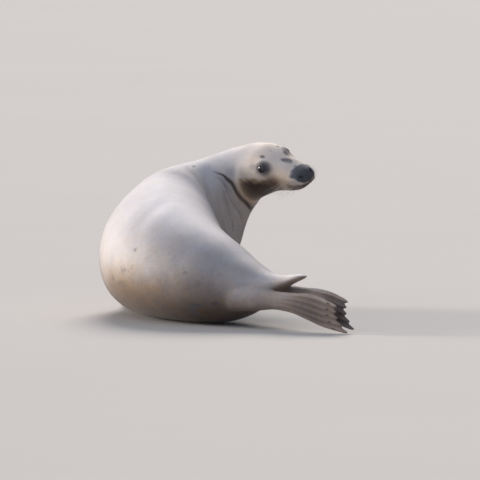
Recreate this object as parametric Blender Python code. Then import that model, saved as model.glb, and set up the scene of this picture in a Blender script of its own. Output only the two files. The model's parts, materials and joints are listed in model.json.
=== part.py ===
"""Grey seal, a young adult female, life size: a still model of the animal curled to its right.

The seal lies on its belly. Its hind end points to +X and -Y, the trunk bends round through -X, and the
head, turned back over the right shoulder, looks to +X and -Y. +Z is up, and it rests on flats at Z = 0.
"""

import math
from dataclasses import dataclass

import bmesh
import bpy
import numpy as np
from mathutils import Vector

GAP = 0.0003  # between touching pieces
FLOOR = 0.0  # the level that belly, chest and flippers rest on
BEND_ROOM = 1.15  # keeps the inner side of a bend clear of the bend's own centre
RING_POINTS = 40  # round the trunk and head
LIMB_COLUMNS = 13  # across each face of a flipper
DIGIT_PITCH = 0.425  # between the five digits, as a share of the flipper's half breadth
CLAW_POINTS = 6  # round a claw

TRUNK_LENGTH = 1.100  # tail root to occiput, along the back in plan
HEAD_LENGTH = 0.262  # occiput to nose tip
TAIL_LENGTH = 0.088
NOSE = TRUNK_LENGTH + HEAD_LENGTH

# Where the body is parted, as distances forward of the tail root.
TAIL_CUT = -0.012
HIND_CUT = 0.36
BELLY_CUT = 0.66
CHEST_CUT = 0.900
NECK_CUT = TRUNK_LENGTH + 0.012
MUZZLE_CUT = NOSE - 0.088
MOUTH_DROP = 0.016  # of the mouth under the head's middle line

LIMB_SPACING = {"hind": 0.05, "fore": 0.075}  # between the sections, as a share of the length
SHARP_EDGE = 50  # degrees

CLAW_LENGTH = 0.026
CLAW_RADIUS = 0.0042
CLAW_LIFT = 0.0005  # of the claws over the floor

EYE_RADIUS = 0.0170
EYE_BACK = 0.136  # behind the nose tip
EYE_SIDE = 0.0430
EYE_UP = 0.0230


@dataclass(frozen=True)
class Station:
    """One cross-section of the body, square to the spine."""

    at: float  # distance forward of the tail root, in plan
    heading: float  # degrees from +X, of the headward direction
    height: float  # of the section's middle over the floor
    half_width: float
    up: float
    down: float
    pitch: float = 0.0  # degrees, nose up
    roll: float = 0.0  # degrees, left side up
    round_top: float = 2.0  # superellipse power of the upper half
    round_bottom: float = 2.3


BODY = (
    Station(-TAIL_LENGTH, 134, 0.150, 0.010, 0.0035, 0.0035),
    Station(-0.070, 134, 0.147, 0.021, 0.0080, 0.0080),
    Station(-0.030, 135, 0.137, 0.027, 0.0150, 0.0150),
    Station(0.000, 136, 0.130, 0.034, 0.0200, 0.0240),
    Station(0.060, 137, 0.118, 0.062, 0.0410, 0.0500),
    Station(0.140, 137, 0.115, 0.103, 0.0750, 0.0900),
    Station(0.240, 134, 0.122, 0.144, 0.1180, 0.1220),
    Station(0.380, 122, 0.135, 0.175, 0.1560, 0.1380),
    Station(0.540, 102, 0.152, 0.188, 0.1870, 0.1560, round_top=1.85),
    Station(0.690, 91, 0.172, 0.184, 0.2000, 0.1760, 2, round_top=1.82),
    Station(0.830, 72, 0.200, 0.161, 0.1990, 0.2040, 8, round_top=1.85),
    Station(0.935, 43, 0.250, 0.132, 0.1680, 0.2150, 18, 6),
    Station(1.015, 8.5, 0.305, 0.111, 0.1260, 0.1920, 20, 14, 2.1, 2.1),
    Station(TRUNK_LENGTH, -29, 0.370, 0.096, 0.0910, 0.1130, 4, 22, 2.1, 2.1),
    Station(NOSE - 0.215, -38, 0.400, 0.084, 0.0700, 0.1000, -5, 25, 2.2, 2.1),
    Station(NOSE - 0.170, -43, 0.406, 0.075, 0.0610, 0.0890, -10, 27, 2.3, 2.1),
    Station(NOSE - 0.128, -44, 0.402, 0.064, 0.0510, 0.0700, -11, 27, 2.3, 2.1),
    Station(NOSE - 0.095, -44, 0.396, 0.053, 0.0400, 0.0600, -11, 27, 2.2, 2.1),
    Station(NOSE - 0.060, -44, 0.389, 0.047, 0.0300, 0.0540, -11, 27, 2.3, 2.3),
    Station(NOSE - 0.030, -44, 0.383, 0.040, 0.0235, 0.0440, -11, 27, 2.3, 2.4),
    Station(NOSE - 0.010, -44, 0.379, 0.029, 0.0165, 0.0290, -11, 27, 2.2, 2.4),
    Station(NOSE, -44, 0.377, 0.016, 0.0085, 0.0160, -11, 27, 2.2, 2.2),
)


class Curve:
    """A smooth curve through values at rising places, with no overshoot between them."""

    def __init__(self, places, values):
        self.x = np.array(places, float)
        self.y = np.array(values, float)
        step = np.diff(self.x)
        rise = np.diff(self.y) / step
        slope = np.empty(len(self.x))
        slope[0], slope[-1] = rise[0], rise[-1]
        for i in range(1, len(step)):
            if rise[i - 1] * rise[i] <= 0:
                slope[i] = 0.0
                continue
            near, far = 2 * step[i] + step[i - 1], step[i] + 2 * step[i - 1]
            slope[i] = (near + far) / (near / rise[i - 1] + far / rise[i])
        self.slope = slope

    def __call__(self, place):
        place = np.clip(place, self.x[0], self.x[-1])
        i = np.clip(np.searchsorted(self.x, place, side="right") - 1, 0, len(self.x) - 2)
        step = self.x[i + 1] - self.x[i]
        t = (place - self.x[i]) / step
        return (
            (1 + 2 * t) * (1 - t) ** 2 * self.y[i]
            + t * (1 - t) ** 2 * step * self.slope[i]
            + t**2 * (3 - 2 * t) * self.y[i + 1]
            + t**2 * (t - 1) * step * self.slope[i + 1]
        )


class Spine:
    """The body's middle line, with the frame and section at each place along it."""

    STEP = 0.001

    def __init__(self, stations):
        places = [s.at for s in stations]
        names = ("heading", "height", "half_width", "up", "down", "pitch", "roll")
        names += ("round_top", "round_bottom")
        self.track = {name: Curve(places, [getattr(s, name) for s in stations]) for name in names}
        self.line = np.arange(places[0], places[-1] + self.STEP, self.STEP)
        turn = np.radians(self.track["heading"](self.line))
        self.x = np.cumsum(np.cos(turn)) * self.STEP
        self.y = np.cumsum(np.sin(turn)) * self.STEP

    def frame(self, at):
        """(middle, forward, left, up) at a place, as numpy vectors."""
        heading, pitch, roll = (math.radians(float(self.track[k](at))) for k in ("heading", "pitch", "roll"))
        x, y = np.interp(at, self.line, self.x), np.interp(at, self.line, self.y)
        middle = np.array([x, y, float(self.track["height"](at))])
        ahead = np.array([math.cos(heading), math.sin(heading), 0.0])
        forward = ahead * math.cos(pitch) + np.array([0.0, 0.0, math.sin(pitch)])
        level = np.array([-math.sin(heading), math.cos(heading), 0.0])
        top = np.cross(forward, level)
        left = math.cos(roll) * level + math.sin(roll) * top
        return middle, forward, left, np.cross(forward, left)

    def ring(self, at, shift=0.0):
        """The cross-section's points, from the left side over the top; shift moves them forward."""
        middle, forward, left, up = self.frame(at)
        width, high, low, top_power, bottom_power = (
            float(self.track[k](at)) for k in ("half_width", "up", "down", "round_top", "round_bottom")
        )
        ends = self.track["heading"](at + self.STEP), self.track["heading"](at - self.STEP)
        bend = math.radians(ends[0] - ends[1]) / (2 * self.STEP)
        points = []
        for i in range(RING_POINTS):
            angle = 2 * math.pi * i / RING_POINTS
            across, rise = math.cos(angle), math.sin(angle)
            power = 2 / (top_power if rise >= 0 else bottom_power)
            side = math.copysign(abs(across) ** power, across) * width
            if side * bend > 0:
                side /= (1 + abs(side * bend * BEND_ROOM) ** 4) ** 0.25
            lift = math.copysign(abs(rise) ** power, rise) * (high if rise >= 0 else low)
            point = middle + forward * shift + left * side + up * lift
            point[2] = max(point[2], FLOOR)
            points.append(point)
        return points


@dataclass(frozen=True)
class Limb:
    """A leg and its flipper, as sections along a bent line; each list is read against along."""

    along: tuple  # share of the length, from the root in the body to the tip
    line: tuple  # points in world space
    across: tuple  # directions across the flipper, from its first digit to its last
    half_breadth: tuple
    half_thickness: tuple
    cut: float  # share of the length where the flipper's own node begins
    notch: float  # how far the middle digits stay behind the outer ones
    slant: float  # how far the last digit stays behind the first
    lobe: float  # how far the web stays behind the digits
    ridge: float  # how far the digits stand over the web, as a share of the thickness


class LimbShape:
    """The surface of a limb: where a point of it lies, by its share of the length and its place across."""

    def __init__(self, limb):
        self.limb = limb
        self.line = [Curve(limb.along, [p[k] for p in limb.line]) for k in range(3)]
        self.lean = [Curve(limb.along, [p[k] for p in limb.across]) for k in range(3)]
        self.breadth = Curve(limb.along, limb.half_breadth)
        self.thickness = Curve(limb.along, limb.half_thickness)

    def point(self, share, v, side, shift=0.0):
        """A point at v, from -1 at the first digit to 1 at the last, on one face or the other by side."""
        limb = self.limb
        fan = max(0.0, (share - limb.cut) / (1 - limb.cut))
        digit = math.cos(2 * math.pi * v / DIGIT_PITCH)
        short = limb.notch * (1 - v * v) + limb.slant * (v + 1) / 2 + limb.lobe * (1 - digit) / 2
        place = share - short * fan**1.5
        middle = np.array([float(c(place)) for c in self.line])
        ahead = np.array([float(c(place + 0.005)) - float(c(place - 0.005)) for c in self.line])
        ahead /= np.linalg.norm(ahead)
        across = np.array([float(c(place)) for c in self.lean])
        across -= ahead * (across @ ahead)
        across /= np.linalg.norm(across)
        swell = (1 + limb.ridge * fan * digit) * math.sqrt(max(0.0, 1 - abs(v) ** 2.6))
        point = middle + ahead * shift + across * v * float(self.breadth(share))
        point = point + np.cross(ahead, across) * side * float(self.thickness(share)) * swell
        point[2] = max(point[2], FLOOR)
        return point

    def ring(self, share, shift=0.0):
        """The section's points: over one face and back along the other."""
        columns = np.linspace(-1, 1, LIMB_COLUMNS)
        over = [self.point(share, v, 1, shift) for v in columns]
        return over + [self.point(share, v, -1, shift) for v in columns[-2:0:-1]]


def loft(name, rings):
    """A closed mesh through the rings, with a fan of faces over each end."""
    mesh = bpy.data.meshes.new(name)
    shape = bmesh.new()
    rows = [[shape.verts.new(p) for p in ring] for ring in rings]
    count = len(rows[0])
    for a, b in zip(rows, rows[1:]):
        for i in range(count):
            j = (i + 1) % count
            shape.faces.new((a[i], a[j], b[j], b[i]))
    for row, turned in ((rows[0], True), (rows[-1], False)):
        middle = shape.verts.new(sum((v.co for v in row), Vector()) / count)
        for i in range(count):
            pair = (row[i], row[(i + 1) % count])
            shape.faces.new((middle, *(reversed(pair) if turned else pair)))
    bmesh.ops.remove_doubles(shape, verts=shape.verts, dist=1e-6)
    bmesh.ops.recalc_face_normals(shape, faces=shape.faces)
    shape.to_mesh(mesh)
    shape.free()
    piece = bpy.data.objects.new(name, mesh)
    bpy.context.scene.collection.objects.link(piece)
    return piece


def places(start, end, spacing):
    """Evenly spaced places from start to end, about spacing apart."""
    return np.linspace(start, end, max(2, int(round((end - start) / spacing)) + 1))


def material(name, colour, roughness):
    """A plain coat, skin or eye material."""
    made = bpy.data.materials.new(name)
    made.use_nodes = True
    shader = made.node_tree.nodes["Principled BSDF"]
    shader.inputs["Base Color"].default_value = (*colour, 1.0)
    shader.inputs["Roughness"].default_value = roughness
    shader.inputs["Metallic"].default_value = 0.0
    return made


def boolean(piece, other, operation):
    """Applies a Boolean with another object, which is then removed."""
    modifier = piece.modifiers.new(operation.title(), "BOOLEAN")
    modifier.operation = operation
    modifier.solver = "EXACT"
    modifier.object = other
    bpy.context.view_layer.update()
    graph = bpy.context.evaluated_depsgraph_get()
    mesh = bpy.data.meshes.new_from_object(piece.evaluated_get(graph))
    piece.modifiers.remove(modifier)
    old = piece.data
    piece.data = mesh
    bpy.data.meshes.remove(old)
    bpy.data.objects.remove(other)
    mesh.name = piece.name


def ball(name, centre, radius, segments=16):
    """A closed ball."""
    mesh = bpy.data.meshes.new(name)
    shape = bmesh.new()
    bmesh.ops.create_uvsphere(shape, u_segments=segments, v_segments=segments // 2, radius=radius)
    bmesh.ops.translate(shape, verts=shape.verts, vec=Vector(centre))
    shape.to_mesh(mesh)
    shape.free()
    piece = bpy.data.objects.new(name, mesh)
    bpy.context.scene.collection.objects.link(piece)
    return piece


def body_segment(spine, name, start, end, spacing):
    """A length of the body, drawn in by half the gap at each end that meets another."""
    rings = [spine.ring(at) for at in places(start, end, spacing)]
    if start > -TAIL_LENGTH:
        rings[0] = spine.ring(start, GAP / 2)
    if end < NOSE:
        rings[-1] = spine.ring(end, -GAP / 2)
    return loft(name, rings)


def eye_centre(spine, side):
    """The middle of an eyeball: side is 1 on the left and -1 on the right."""
    middle, _, left, up = spine.frame(NOSE - EYE_BACK)
    return middle + left * EYE_SIDE * side + up * EYE_UP


def hind_limb(spine, side):
    """A hind leg and flipper, trailing beside and below the tail with the sole turned inwards."""
    root, forward, left, _ = spine.frame(0.0)
    forward = np.array([forward[0], forward[1], 0.0]) / math.hypot(forward[0], forward[1])
    rise = np.array([0.0, 0.0, 1.0])

    def spot(back, out, height):
        return tuple(root * (1, 1, 0) - forward * back + left * out * side + rise * height)

    lift = 0.0 if side > 0 else 0.012  # the right flipper lies over the left one's edge
    steep = tuple(rise)
    tilt = tuple(rise * 0.95 + forward * 0.30 + left * side * 0.10)
    return Limb(
        along=(0.0, 0.2, 0.38, 0.5, 0.66, 0.84, 1.0),
        line=(
            spot(-0.150, 0.055, 0.088 + lift),
            spot(-0.060, 0.046, 0.084 + lift),
            spot(0.015, 0.036, 0.081 + lift),
            spot(0.065, 0.029, 0.077 + lift),
            spot(0.130, 0.022, 0.066 + lift),
            spot(0.195, 0.018, 0.050 + lift),
            spot(0.285, 0.018, 0.033 + lift / 2),
        ),
        across=(steep, steep, steep, steep, steep, tilt, tilt),
        half_breadth=(0.046, 0.036, 0.026, 0.028, 0.036, 0.040, 0.038),
        half_thickness=(0.045, 0.034, 0.021, 0.017, 0.0110, 0.0065, 0.0028),
        cut=0.40,
        notch=0.02,
        slant=0.09,
        lobe=0.03,
        ridge=0.30,
    )


def fore_limb(spine, side):
    """A fore flipper on the floor, palm down: the left one reaches forward, the right one trails."""
    root, forward, left, _ = spine.frame(0.80)
    forward = np.array([forward[0], forward[1], 0.0]) / math.hypot(forward[0], forward[1])
    sweep = math.radians(78 if side > 0 else -42)
    out = left * side * math.cos(sweep) + forward * math.sin(sweep)
    ahead = forward * math.cos(sweep) - left * side * math.sin(sweep)

    def spot(reach, height):
        return tuple(root * (1, 1, 0) + left * side * 0.088 + out * reach + np.array([0.0, 0.0, height]))

    slope, flat = tuple(ahead * 0.90 + np.array([0.0, 0.0, 0.30])), tuple(ahead)
    return Limb(
        along=(0.0, 0.25, 0.42, 0.6, 0.8, 1.0),
        line=(
            spot(0.000, 0.080),
            spot(0.062, 0.042),
            spot(0.105, 0.020),
            spot(0.150, 0.0100),
            spot(0.200, 0.0065),
            spot(0.250, 0.0045),
        ),
        across=(slope, slope, flat, flat, flat, flat),
        half_breadth=(0.050, 0.043, 0.042, 0.047, 0.049, 0.043),
        half_thickness=(0.030, 0.021, 0.014, 0.011, 0.0085, 0.0040),
        cut=0.40,
        notch=-0.03,
        slant=0.16,
        lobe=0.035,
        ridge=0.28,
    )


def add_claws(flipper, shape):
    """Joins the five long claws of a fore flipper to it, each a curved cone beyond its digit's tip."""
    for digit in range(-2, 3):
        v = digit * DIGIT_PITCH
        tip, inner = shape.point(1.0, v, 0), shape.point(0.93, v, 0)
        ahead = (tip - inner) / np.linalg.norm(tip - inner)
        side = np.cross(ahead, (0.0, 0.0, 1.0))
        side /= np.linalg.norm(side)
        top = np.cross(side, ahead)
        rings = []
        for share in (-0.35, 0.15, 0.6, 1.0):
            radius = CLAW_RADIUS * (1 - 0.8 * max(share, 0.0))
            middle = tip + ahead * CLAW_LENGTH * share + top * CLAW_RADIUS * (0.5 - share**2)
            ring = []
            for i in range(CLAW_POINTS):
                angle = 2 * math.pi * i / CLAW_POINTS
                ring.append(middle + side * math.cos(angle) * radius + top * math.sin(angle) * radius)
                ring[-1][2] = max(ring[-1][2], FLOOR + CLAW_LIFT)
            rings.append(ring)
        boolean(flipper, loft("claw", rings), "UNION")


def clear_scene():
    for thing in list(bpy.data.objects):
        bpy.data.objects.remove(thing)


def trunk_and_head(spine):
    """The nodes cut from the one long body, tail to nose, and the lower jaw cut from the muzzle."""
    parts = {
        "tail": body_segment(spine, "tail", -TAIL_LENGTH, TAIL_CUT, 0.014),
        "hindquarters": body_segment(spine, "hindquarters", TAIL_CUT, HIND_CUT, 0.034),
        "belly": body_segment(spine, "belly", HIND_CUT, BELLY_CUT, 0.040),
        "chest": body_segment(spine, "chest", BELLY_CUT, CHEST_CUT, 0.038),
        "neck": body_segment(spine, "neck", CHEST_CUT, NECK_CUT, 0.026),
        "head": body_segment(spine, "head", NECK_CUT, MUZZLE_CUT, 0.0130),
        "muzzle": body_segment(spine, "muzzle", MUZZLE_CUT, NOSE, 0.0120),
        "lower_jaw": body_segment(spine, "lower_jaw", MUZZLE_CUT, NOSE, 0.0120),
    }
    boolean(parts["muzzle"], under_mouth(spine, GAP), "DIFFERENCE")
    boolean(parts["lower_jaw"], under_mouth(spine, 0.0), "INTERSECT")
    return parts


def under_mouth(spine, rise):
    """A block that fills the space under the mouth line, its top raised by rise."""
    middle, forward, left, up = spine.frame((MUZZLE_CUT + NOSE) / 2)
    reach = NOSE - MUZZLE_CUT
    rings = []
    for depth in (reach, MOUTH_DROP - rise):
        corners = ((-1, -1), (1, -1), (1, 1), (-1, 1))
        rings.append([middle - up * depth + (forward * a + left * b) * reach for a, b in corners])
    return loft("under_mouth", rings)


def add_flippers(parts, spine):
    """The four flippers: each root is joined to the trunk, and the flipper is its own node."""
    for pair, build, trunk in (("hind", hind_limb, "hindquarters"), ("fore", fore_limb, "chest")):
        spacing = LIMB_SPACING[pair]
        for side, word in ((1, "left"), (-1, "right")):
            shape = LimbShape(build(spine, side))
            cut = shape.limb.cut
            stub = loft("stub", [shape.ring(share) for share in places(0.0, cut, spacing * 2)])
            boolean(parts[trunk], stub, "UNION")
            name = f"{pair}_flipper_{word}"
            rings = [shape.ring(share) for share in places(cut, 1.0, spacing)]
            rings[0] = shape.ring(cut, GAP)
            parts[name] = loft(name, rings)
            if pair == "fore":
                add_claws(parts[name], shape)


def add_eyes(parts, spine):
    """The two eyeballs, each in a socket cut from the head."""
    for side, word in ((1, "left"), (-1, "right")):
        centre = eye_centre(spine, side)
        parts[f"eye_{word}"] = ball(f"eye_{word}", centre, EYE_RADIUS)
        boolean(parts["head"], ball("socket", centre, EYE_RADIUS + GAP), "DIFFERENCE")


def centre_on_origin(parts):
    """Moves the animal so that the origin is under the middle of its box."""
    corners = np.array([v.co for piece in parts.values() for v in piece.data.vertices])
    low, high = corners.min(0), corners.max(0)
    shift = Vector((-(low[0] + high[0]) / 2, -(low[1] + high[1]) / 2, 0.0))
    for piece in parts.values():
        for vertex in piece.data.vertices:
            vertex.co += shift


def dress(parts):
    """Gives each node its material and smooth shading."""
    materials = {
        "head": material("head_coat", (0.62, 0.52, 0.45), 0.7),
        "body": material("body_coat", (0.55, 0.53, 0.52), 0.6),
        "flipper": material("flipper_skin", (0.33, 0.27, 0.24), 0.6),
        "eye": material("eye", (0.01, 0.008, 0.007), 0.05),
    }
    for name, piece in parts.items():
        kind = "head" if name in ("head", "muzzle", "lower_jaw") else "body"
        kind = "flipper" if "flipper" in name else "eye" if "eye" in name else kind
        piece.data.materials.clear()
        piece.data.materials.append(materials[kind])
        piece.data.shade_smooth()
        piece.data.set_sharp_from_angle(angle=math.radians(SHARP_EDGE))


def main():
    clear_scene()
    spine = Spine(BODY)
    parts = trunk_and_head(spine)
    add_flippers(parts, spine)
    add_eyes(parts, spine)
    centre_on_origin(parts)
    dress(parts)


main()
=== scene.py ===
"""Looks of a grey seal at rest: one skin, a short flat coat, eyes, lids, whiskers and claws.

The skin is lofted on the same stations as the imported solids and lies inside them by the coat's
depth. Every place on the animal is named by its distance forward of the tail root along the spine
and by its angle round the body, so that markings, folds and the lie of the hair share one map.
"""

from __future__ import annotations

import json
import logging
import math
from dataclasses import dataclass
from enum import Enum

import bmesh
import bpy
import numpy as np
from mathutils import Matrix, Vector
from mathutils.kdtree import KDTree

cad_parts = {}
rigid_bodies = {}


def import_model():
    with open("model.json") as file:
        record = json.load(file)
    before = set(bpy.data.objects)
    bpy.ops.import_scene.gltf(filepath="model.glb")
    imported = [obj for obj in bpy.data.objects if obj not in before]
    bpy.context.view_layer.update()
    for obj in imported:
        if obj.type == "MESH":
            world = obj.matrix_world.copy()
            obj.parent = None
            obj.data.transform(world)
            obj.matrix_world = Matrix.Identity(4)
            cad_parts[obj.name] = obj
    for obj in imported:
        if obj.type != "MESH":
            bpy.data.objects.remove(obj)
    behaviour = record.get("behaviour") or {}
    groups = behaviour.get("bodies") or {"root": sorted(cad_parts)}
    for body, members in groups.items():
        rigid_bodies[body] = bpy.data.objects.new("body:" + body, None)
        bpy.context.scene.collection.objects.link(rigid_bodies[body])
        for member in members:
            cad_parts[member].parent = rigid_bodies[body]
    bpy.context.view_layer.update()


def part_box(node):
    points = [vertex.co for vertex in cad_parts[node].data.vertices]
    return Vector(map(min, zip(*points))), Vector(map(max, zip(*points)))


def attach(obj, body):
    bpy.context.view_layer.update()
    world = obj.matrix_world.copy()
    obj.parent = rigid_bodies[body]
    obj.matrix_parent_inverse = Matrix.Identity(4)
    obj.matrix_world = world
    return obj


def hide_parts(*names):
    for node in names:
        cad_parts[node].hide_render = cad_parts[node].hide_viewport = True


logging.basicConfig(level=logging.INFO, format="%(message)s")
LOG = logging.getLogger("seal")

for startup_object in list(bpy.data.objects):
    bpy.data.objects.remove(startup_object)
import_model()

SEED = 7
BODY = "root"
FLESH = (
    "head muzzle lower_jaw neck chest belly hindquarters tail fore_flipper_left fore_flipper_right"
    " hind_flipper_left hind_flipper_right"
).split()

TRUNK_LENGTH = 1.100  # tail root to occiput
HEAD_LENGTH = 0.262
TAIL_LENGTH = 0.088
NOSE = TRUNK_LENGTH + HEAD_LENGTH
EYE_BACK = 0.136  # behind the nose tip
EYE_RADIUS = 0.0170
BEND_ROOM = 1.15  # keeps the inner side of a bend clear of the bend's own centre
DIGIT_PITCH = 0.425  # between the five digits, as a share of a flipper's half breadth
DIGITS = (-2, -1, 0, 1, 2)
AROUND = 176  # points round the trunk and head


class Region(Enum):
    """The parts of the coat, each a mesh of its own."""

    HEAD = "coat_head"
    NECK = "coat_neck"
    SHOULDERS = "coat_shoulders"
    CHEST = "coat_chest"
    BELLY = "coat_belly"
    LOINS = "coat_loins"
    HINDQUARTERS = "coat_hindquarters"
    FLIPPERS = "coat_flippers"


def linear(colour: str) -> tuple[float, float, float, float]:
    """Turns an sRGB colour to linear.

    Args:
        colour: six hex digits after a hash.

    Returns:
        Red, green, blue and alpha.
    """
    parts = [int(colour[i : i + 2], 16) / 255 for i in (1, 3, 5)]
    made = [c / 12.92 if c <= 0.04045 else ((c + 0.055) / 1.055) ** 2.4 for c in parts]
    return (made[0], made[1], made[2], 1.0)


def add_node(
    tree: bpy.types.NodeTree,
    kind: str,
    settings: dict | None = None,
    links: dict | None = None,
    stops: tuple | list = (),
) -> bpy.types.Node:
    """Adds a node to a tree.

    Args:
        tree: the node tree.
        kind: the node's type name.
        settings: its properties by name.
        links: a value or another node's output for each input, by name or number.
        stops: place and colour of each stop, on a colour ramp.

    Returns:
        The node.
    """
    node = tree.nodes.new(kind)
    for name, value in (settings or {}).items():
        setattr(node, name, value)
    feed(tree, node, links or {})
    for i, (place, colour) in enumerate(stops):
        elements = node.color_ramp.elements
        element = elements[i] if i < 2 else elements.new(place)
        element.position, element.color = place, linear(colour)
    return node


def feed(tree: bpy.types.NodeTree, node: bpy.types.Node, links: dict) -> None:
    """Sets a node's inputs.

    Args:
        tree: the node tree.
        node: the node.
        links: a value or another node's output for each input, by name or number.
    """
    for key, value in links.items():
        if isinstance(value, bpy.types.NodeSocket):
            tree.links.new(value, node.inputs[key])
        else:
            node.inputs[key].default_value = value


def add_math(
    tree: bpy.types.NodeTree,
    operation: str,
    *values: float | bpy.types.NodeSocket,
    clamp: bool = False,
) -> bpy.types.NodeSocket:
    """Adds a sum to a tree.

    Args:
        tree: the node tree.
        operation: the sum's name.
        values: its numbers or other nodes' outputs, in order.
        clamp: whether to keep the result from 0 to 1.

    Returns:
        The result.
    """
    settings = {"operation": operation, "use_clamp": clamp}
    return add_node(tree, "ShaderNodeMath", settings, dict(enumerate(values))).outputs[0]


def add_noise(
    tree: bpy.types.NodeTree,
    place: bpy.types.NodeSocket,
    scale: float,
    detail: float = 2.0,
    roughness: float = 0.5,
    distortion: float = 0.0,
) -> bpy.types.NodeSocket:
    """Adds smooth noise to a tree.

    Args:
        tree: the node tree.
        place: where the noise is read.
        scale: turns per metre.
        detail: how many finer layers it has.
        roughness: how strong they are.
        distortion: how far they are drawn about.

    Returns:
        The noise, from 0 to 1 and mostly near 0.5.
    """
    links = {
        "Vector": place,
        "Scale": scale,
        "Detail": detail,
        "Roughness": roughness,
        "Distortion": distortion,
    }
    return add_node(tree, "ShaderNodeTexNoise", links=links).outputs["Fac"]


def new_finish(name: str) -> tuple[bpy.types.Material, bpy.types.NodeTree, bpy.types.Node]:
    """Makes a material, and gives it with its node tree and its shader."""
    made = bpy.data.materials.new(name)
    made.use_nodes = True
    return made, made.node_tree, made.node_tree.nodes["Principled BSDF"]


def smooth_step(low: float, high: float, value: np.ndarray) -> np.ndarray:
    """Rises smoothly from 0 at low to 1 at high."""
    t = np.clip((value - low) / (high - low), 0, 1)
    return t * t * (3 - 2 * t)


def unit(vectors: np.ndarray) -> np.ndarray:
    """The same directions, one long."""
    return vectors / np.maximum(np.linalg.norm(vectors, axis=-1, keepdims=True), 1e-12)


class Curve:
    """A smooth curve through values at rising places, with no overshoot between them."""

    def __init__(self, places: tuple | list | np.ndarray, values: tuple | list | np.ndarray) -> None:
        """Works out the slope at each place.

        Args:
            places: rising numbers.
            values: the value at each.
        """
        self.x = np.array(places, float)
        self.y = np.array(values, float)
        step = np.diff(self.x)
        rise = np.diff(self.y) / step
        slope = np.zeros(len(self.x))
        slope[0], slope[-1] = rise[0], rise[-1]
        for i in range(1, len(step)):
            if rise[i - 1] * rise[i] > 0:
                near, far = 2 * step[i] + step[i - 1], step[i] + 2 * step[i - 1]
                slope[i] = (near + far) / (near / rise[i - 1] + far / rise[i])
        self.slope = slope

    def __call__(self, place: np.ndarray) -> np.ndarray:
        """Reads the curve, held at its ends.

        Args:
            place: where.

        Returns:
            The value at each place.
        """
        place = np.clip(place, self.x[0], self.x[-1])
        i = np.clip(np.searchsorted(self.x, place, side="right") - 1, 0, len(self.x) - 2)
        step = self.x[i + 1] - self.x[i]
        t = (place - self.x[i]) / step
        near = (1 + 2 * t) * (1 - t) ** 2 * self.y[i] + t * (1 - t) ** 2 * step * self.slope[i]
        return near + t**2 * (3 - 2 * t) * self.y[i + 1] + t**2 * (t - 1) * step * self.slope[i + 1]


@dataclass(frozen=True)
class Station:
    """One cross-section of the body, square to the spine, as in the solids."""

    at: float  # distance forward of the tail root
    heading: float  # degrees from +X
    height: float
    half_width: float
    up: float
    down: float
    pitch: float = 0.0  # degrees, nose up
    roll: float = 0.0  # degrees, left side up
    round_top: float = 2.0  # superellipse powers
    round_bottom: float = 2.3


STATIONS = (
    Station(-TAIL_LENGTH, 134, 0.150, 0.010, 0.0035, 0.0035),
    Station(-0.070, 134, 0.147, 0.021, 0.0080, 0.0080),
    Station(-0.030, 135, 0.137, 0.027, 0.0150, 0.0150),
    Station(0.000, 136, 0.130, 0.034, 0.0200, 0.0240),
    Station(0.060, 137, 0.118, 0.062, 0.0410, 0.0500),
    Station(0.140, 137, 0.115, 0.103, 0.0750, 0.0900),
    Station(0.240, 134, 0.122, 0.144, 0.1180, 0.1220),
    Station(0.380, 122, 0.135, 0.175, 0.1560, 0.1380),
    Station(0.540, 102, 0.152, 0.188, 0.1870, 0.1560, round_top=1.85),
    Station(0.690, 91, 0.172, 0.184, 0.2000, 0.1760, 2, round_top=1.82),
    Station(0.830, 72, 0.200, 0.161, 0.1990, 0.2040, 8, round_top=1.85),
    Station(0.935, 43, 0.250, 0.132, 0.1680, 0.2150, 18, 6),
    Station(1.015, 8.5, 0.305, 0.111, 0.1260, 0.1920, 20, 14, 2.1, 2.1),
    Station(TRUNK_LENGTH, -29, 0.370, 0.096, 0.0910, 0.1130, 4, 22, 2.1, 2.1),
    Station(NOSE - 0.215, -38, 0.400, 0.084, 0.0700, 0.1000, -5, 25, 2.2, 2.1),
    Station(NOSE - 0.170, -43, 0.406, 0.075, 0.0610, 0.0890, -10, 27, 2.3, 2.1),
    Station(NOSE - 0.128, -44, 0.402, 0.064, 0.0510, 0.0700, -11, 27, 2.3, 2.1),
    Station(NOSE - 0.095, -44, 0.396, 0.053, 0.0400, 0.0600, -11, 27, 2.2, 2.1),
    Station(NOSE - 0.060, -44, 0.389, 0.047, 0.0300, 0.0540, -11, 27, 2.3, 2.3),
    Station(NOSE - 0.030, -44, 0.383, 0.040, 0.0235, 0.0440, -11, 27, 2.3, 2.4),
    Station(NOSE - 0.010, -44, 0.379, 0.029, 0.0165, 0.0290, -11, 27, 2.2, 2.4),
    Station(NOSE, -44, 0.377, 0.016, 0.0085, 0.0160, -11, 27, 2.2, 2.2),
)


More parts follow.
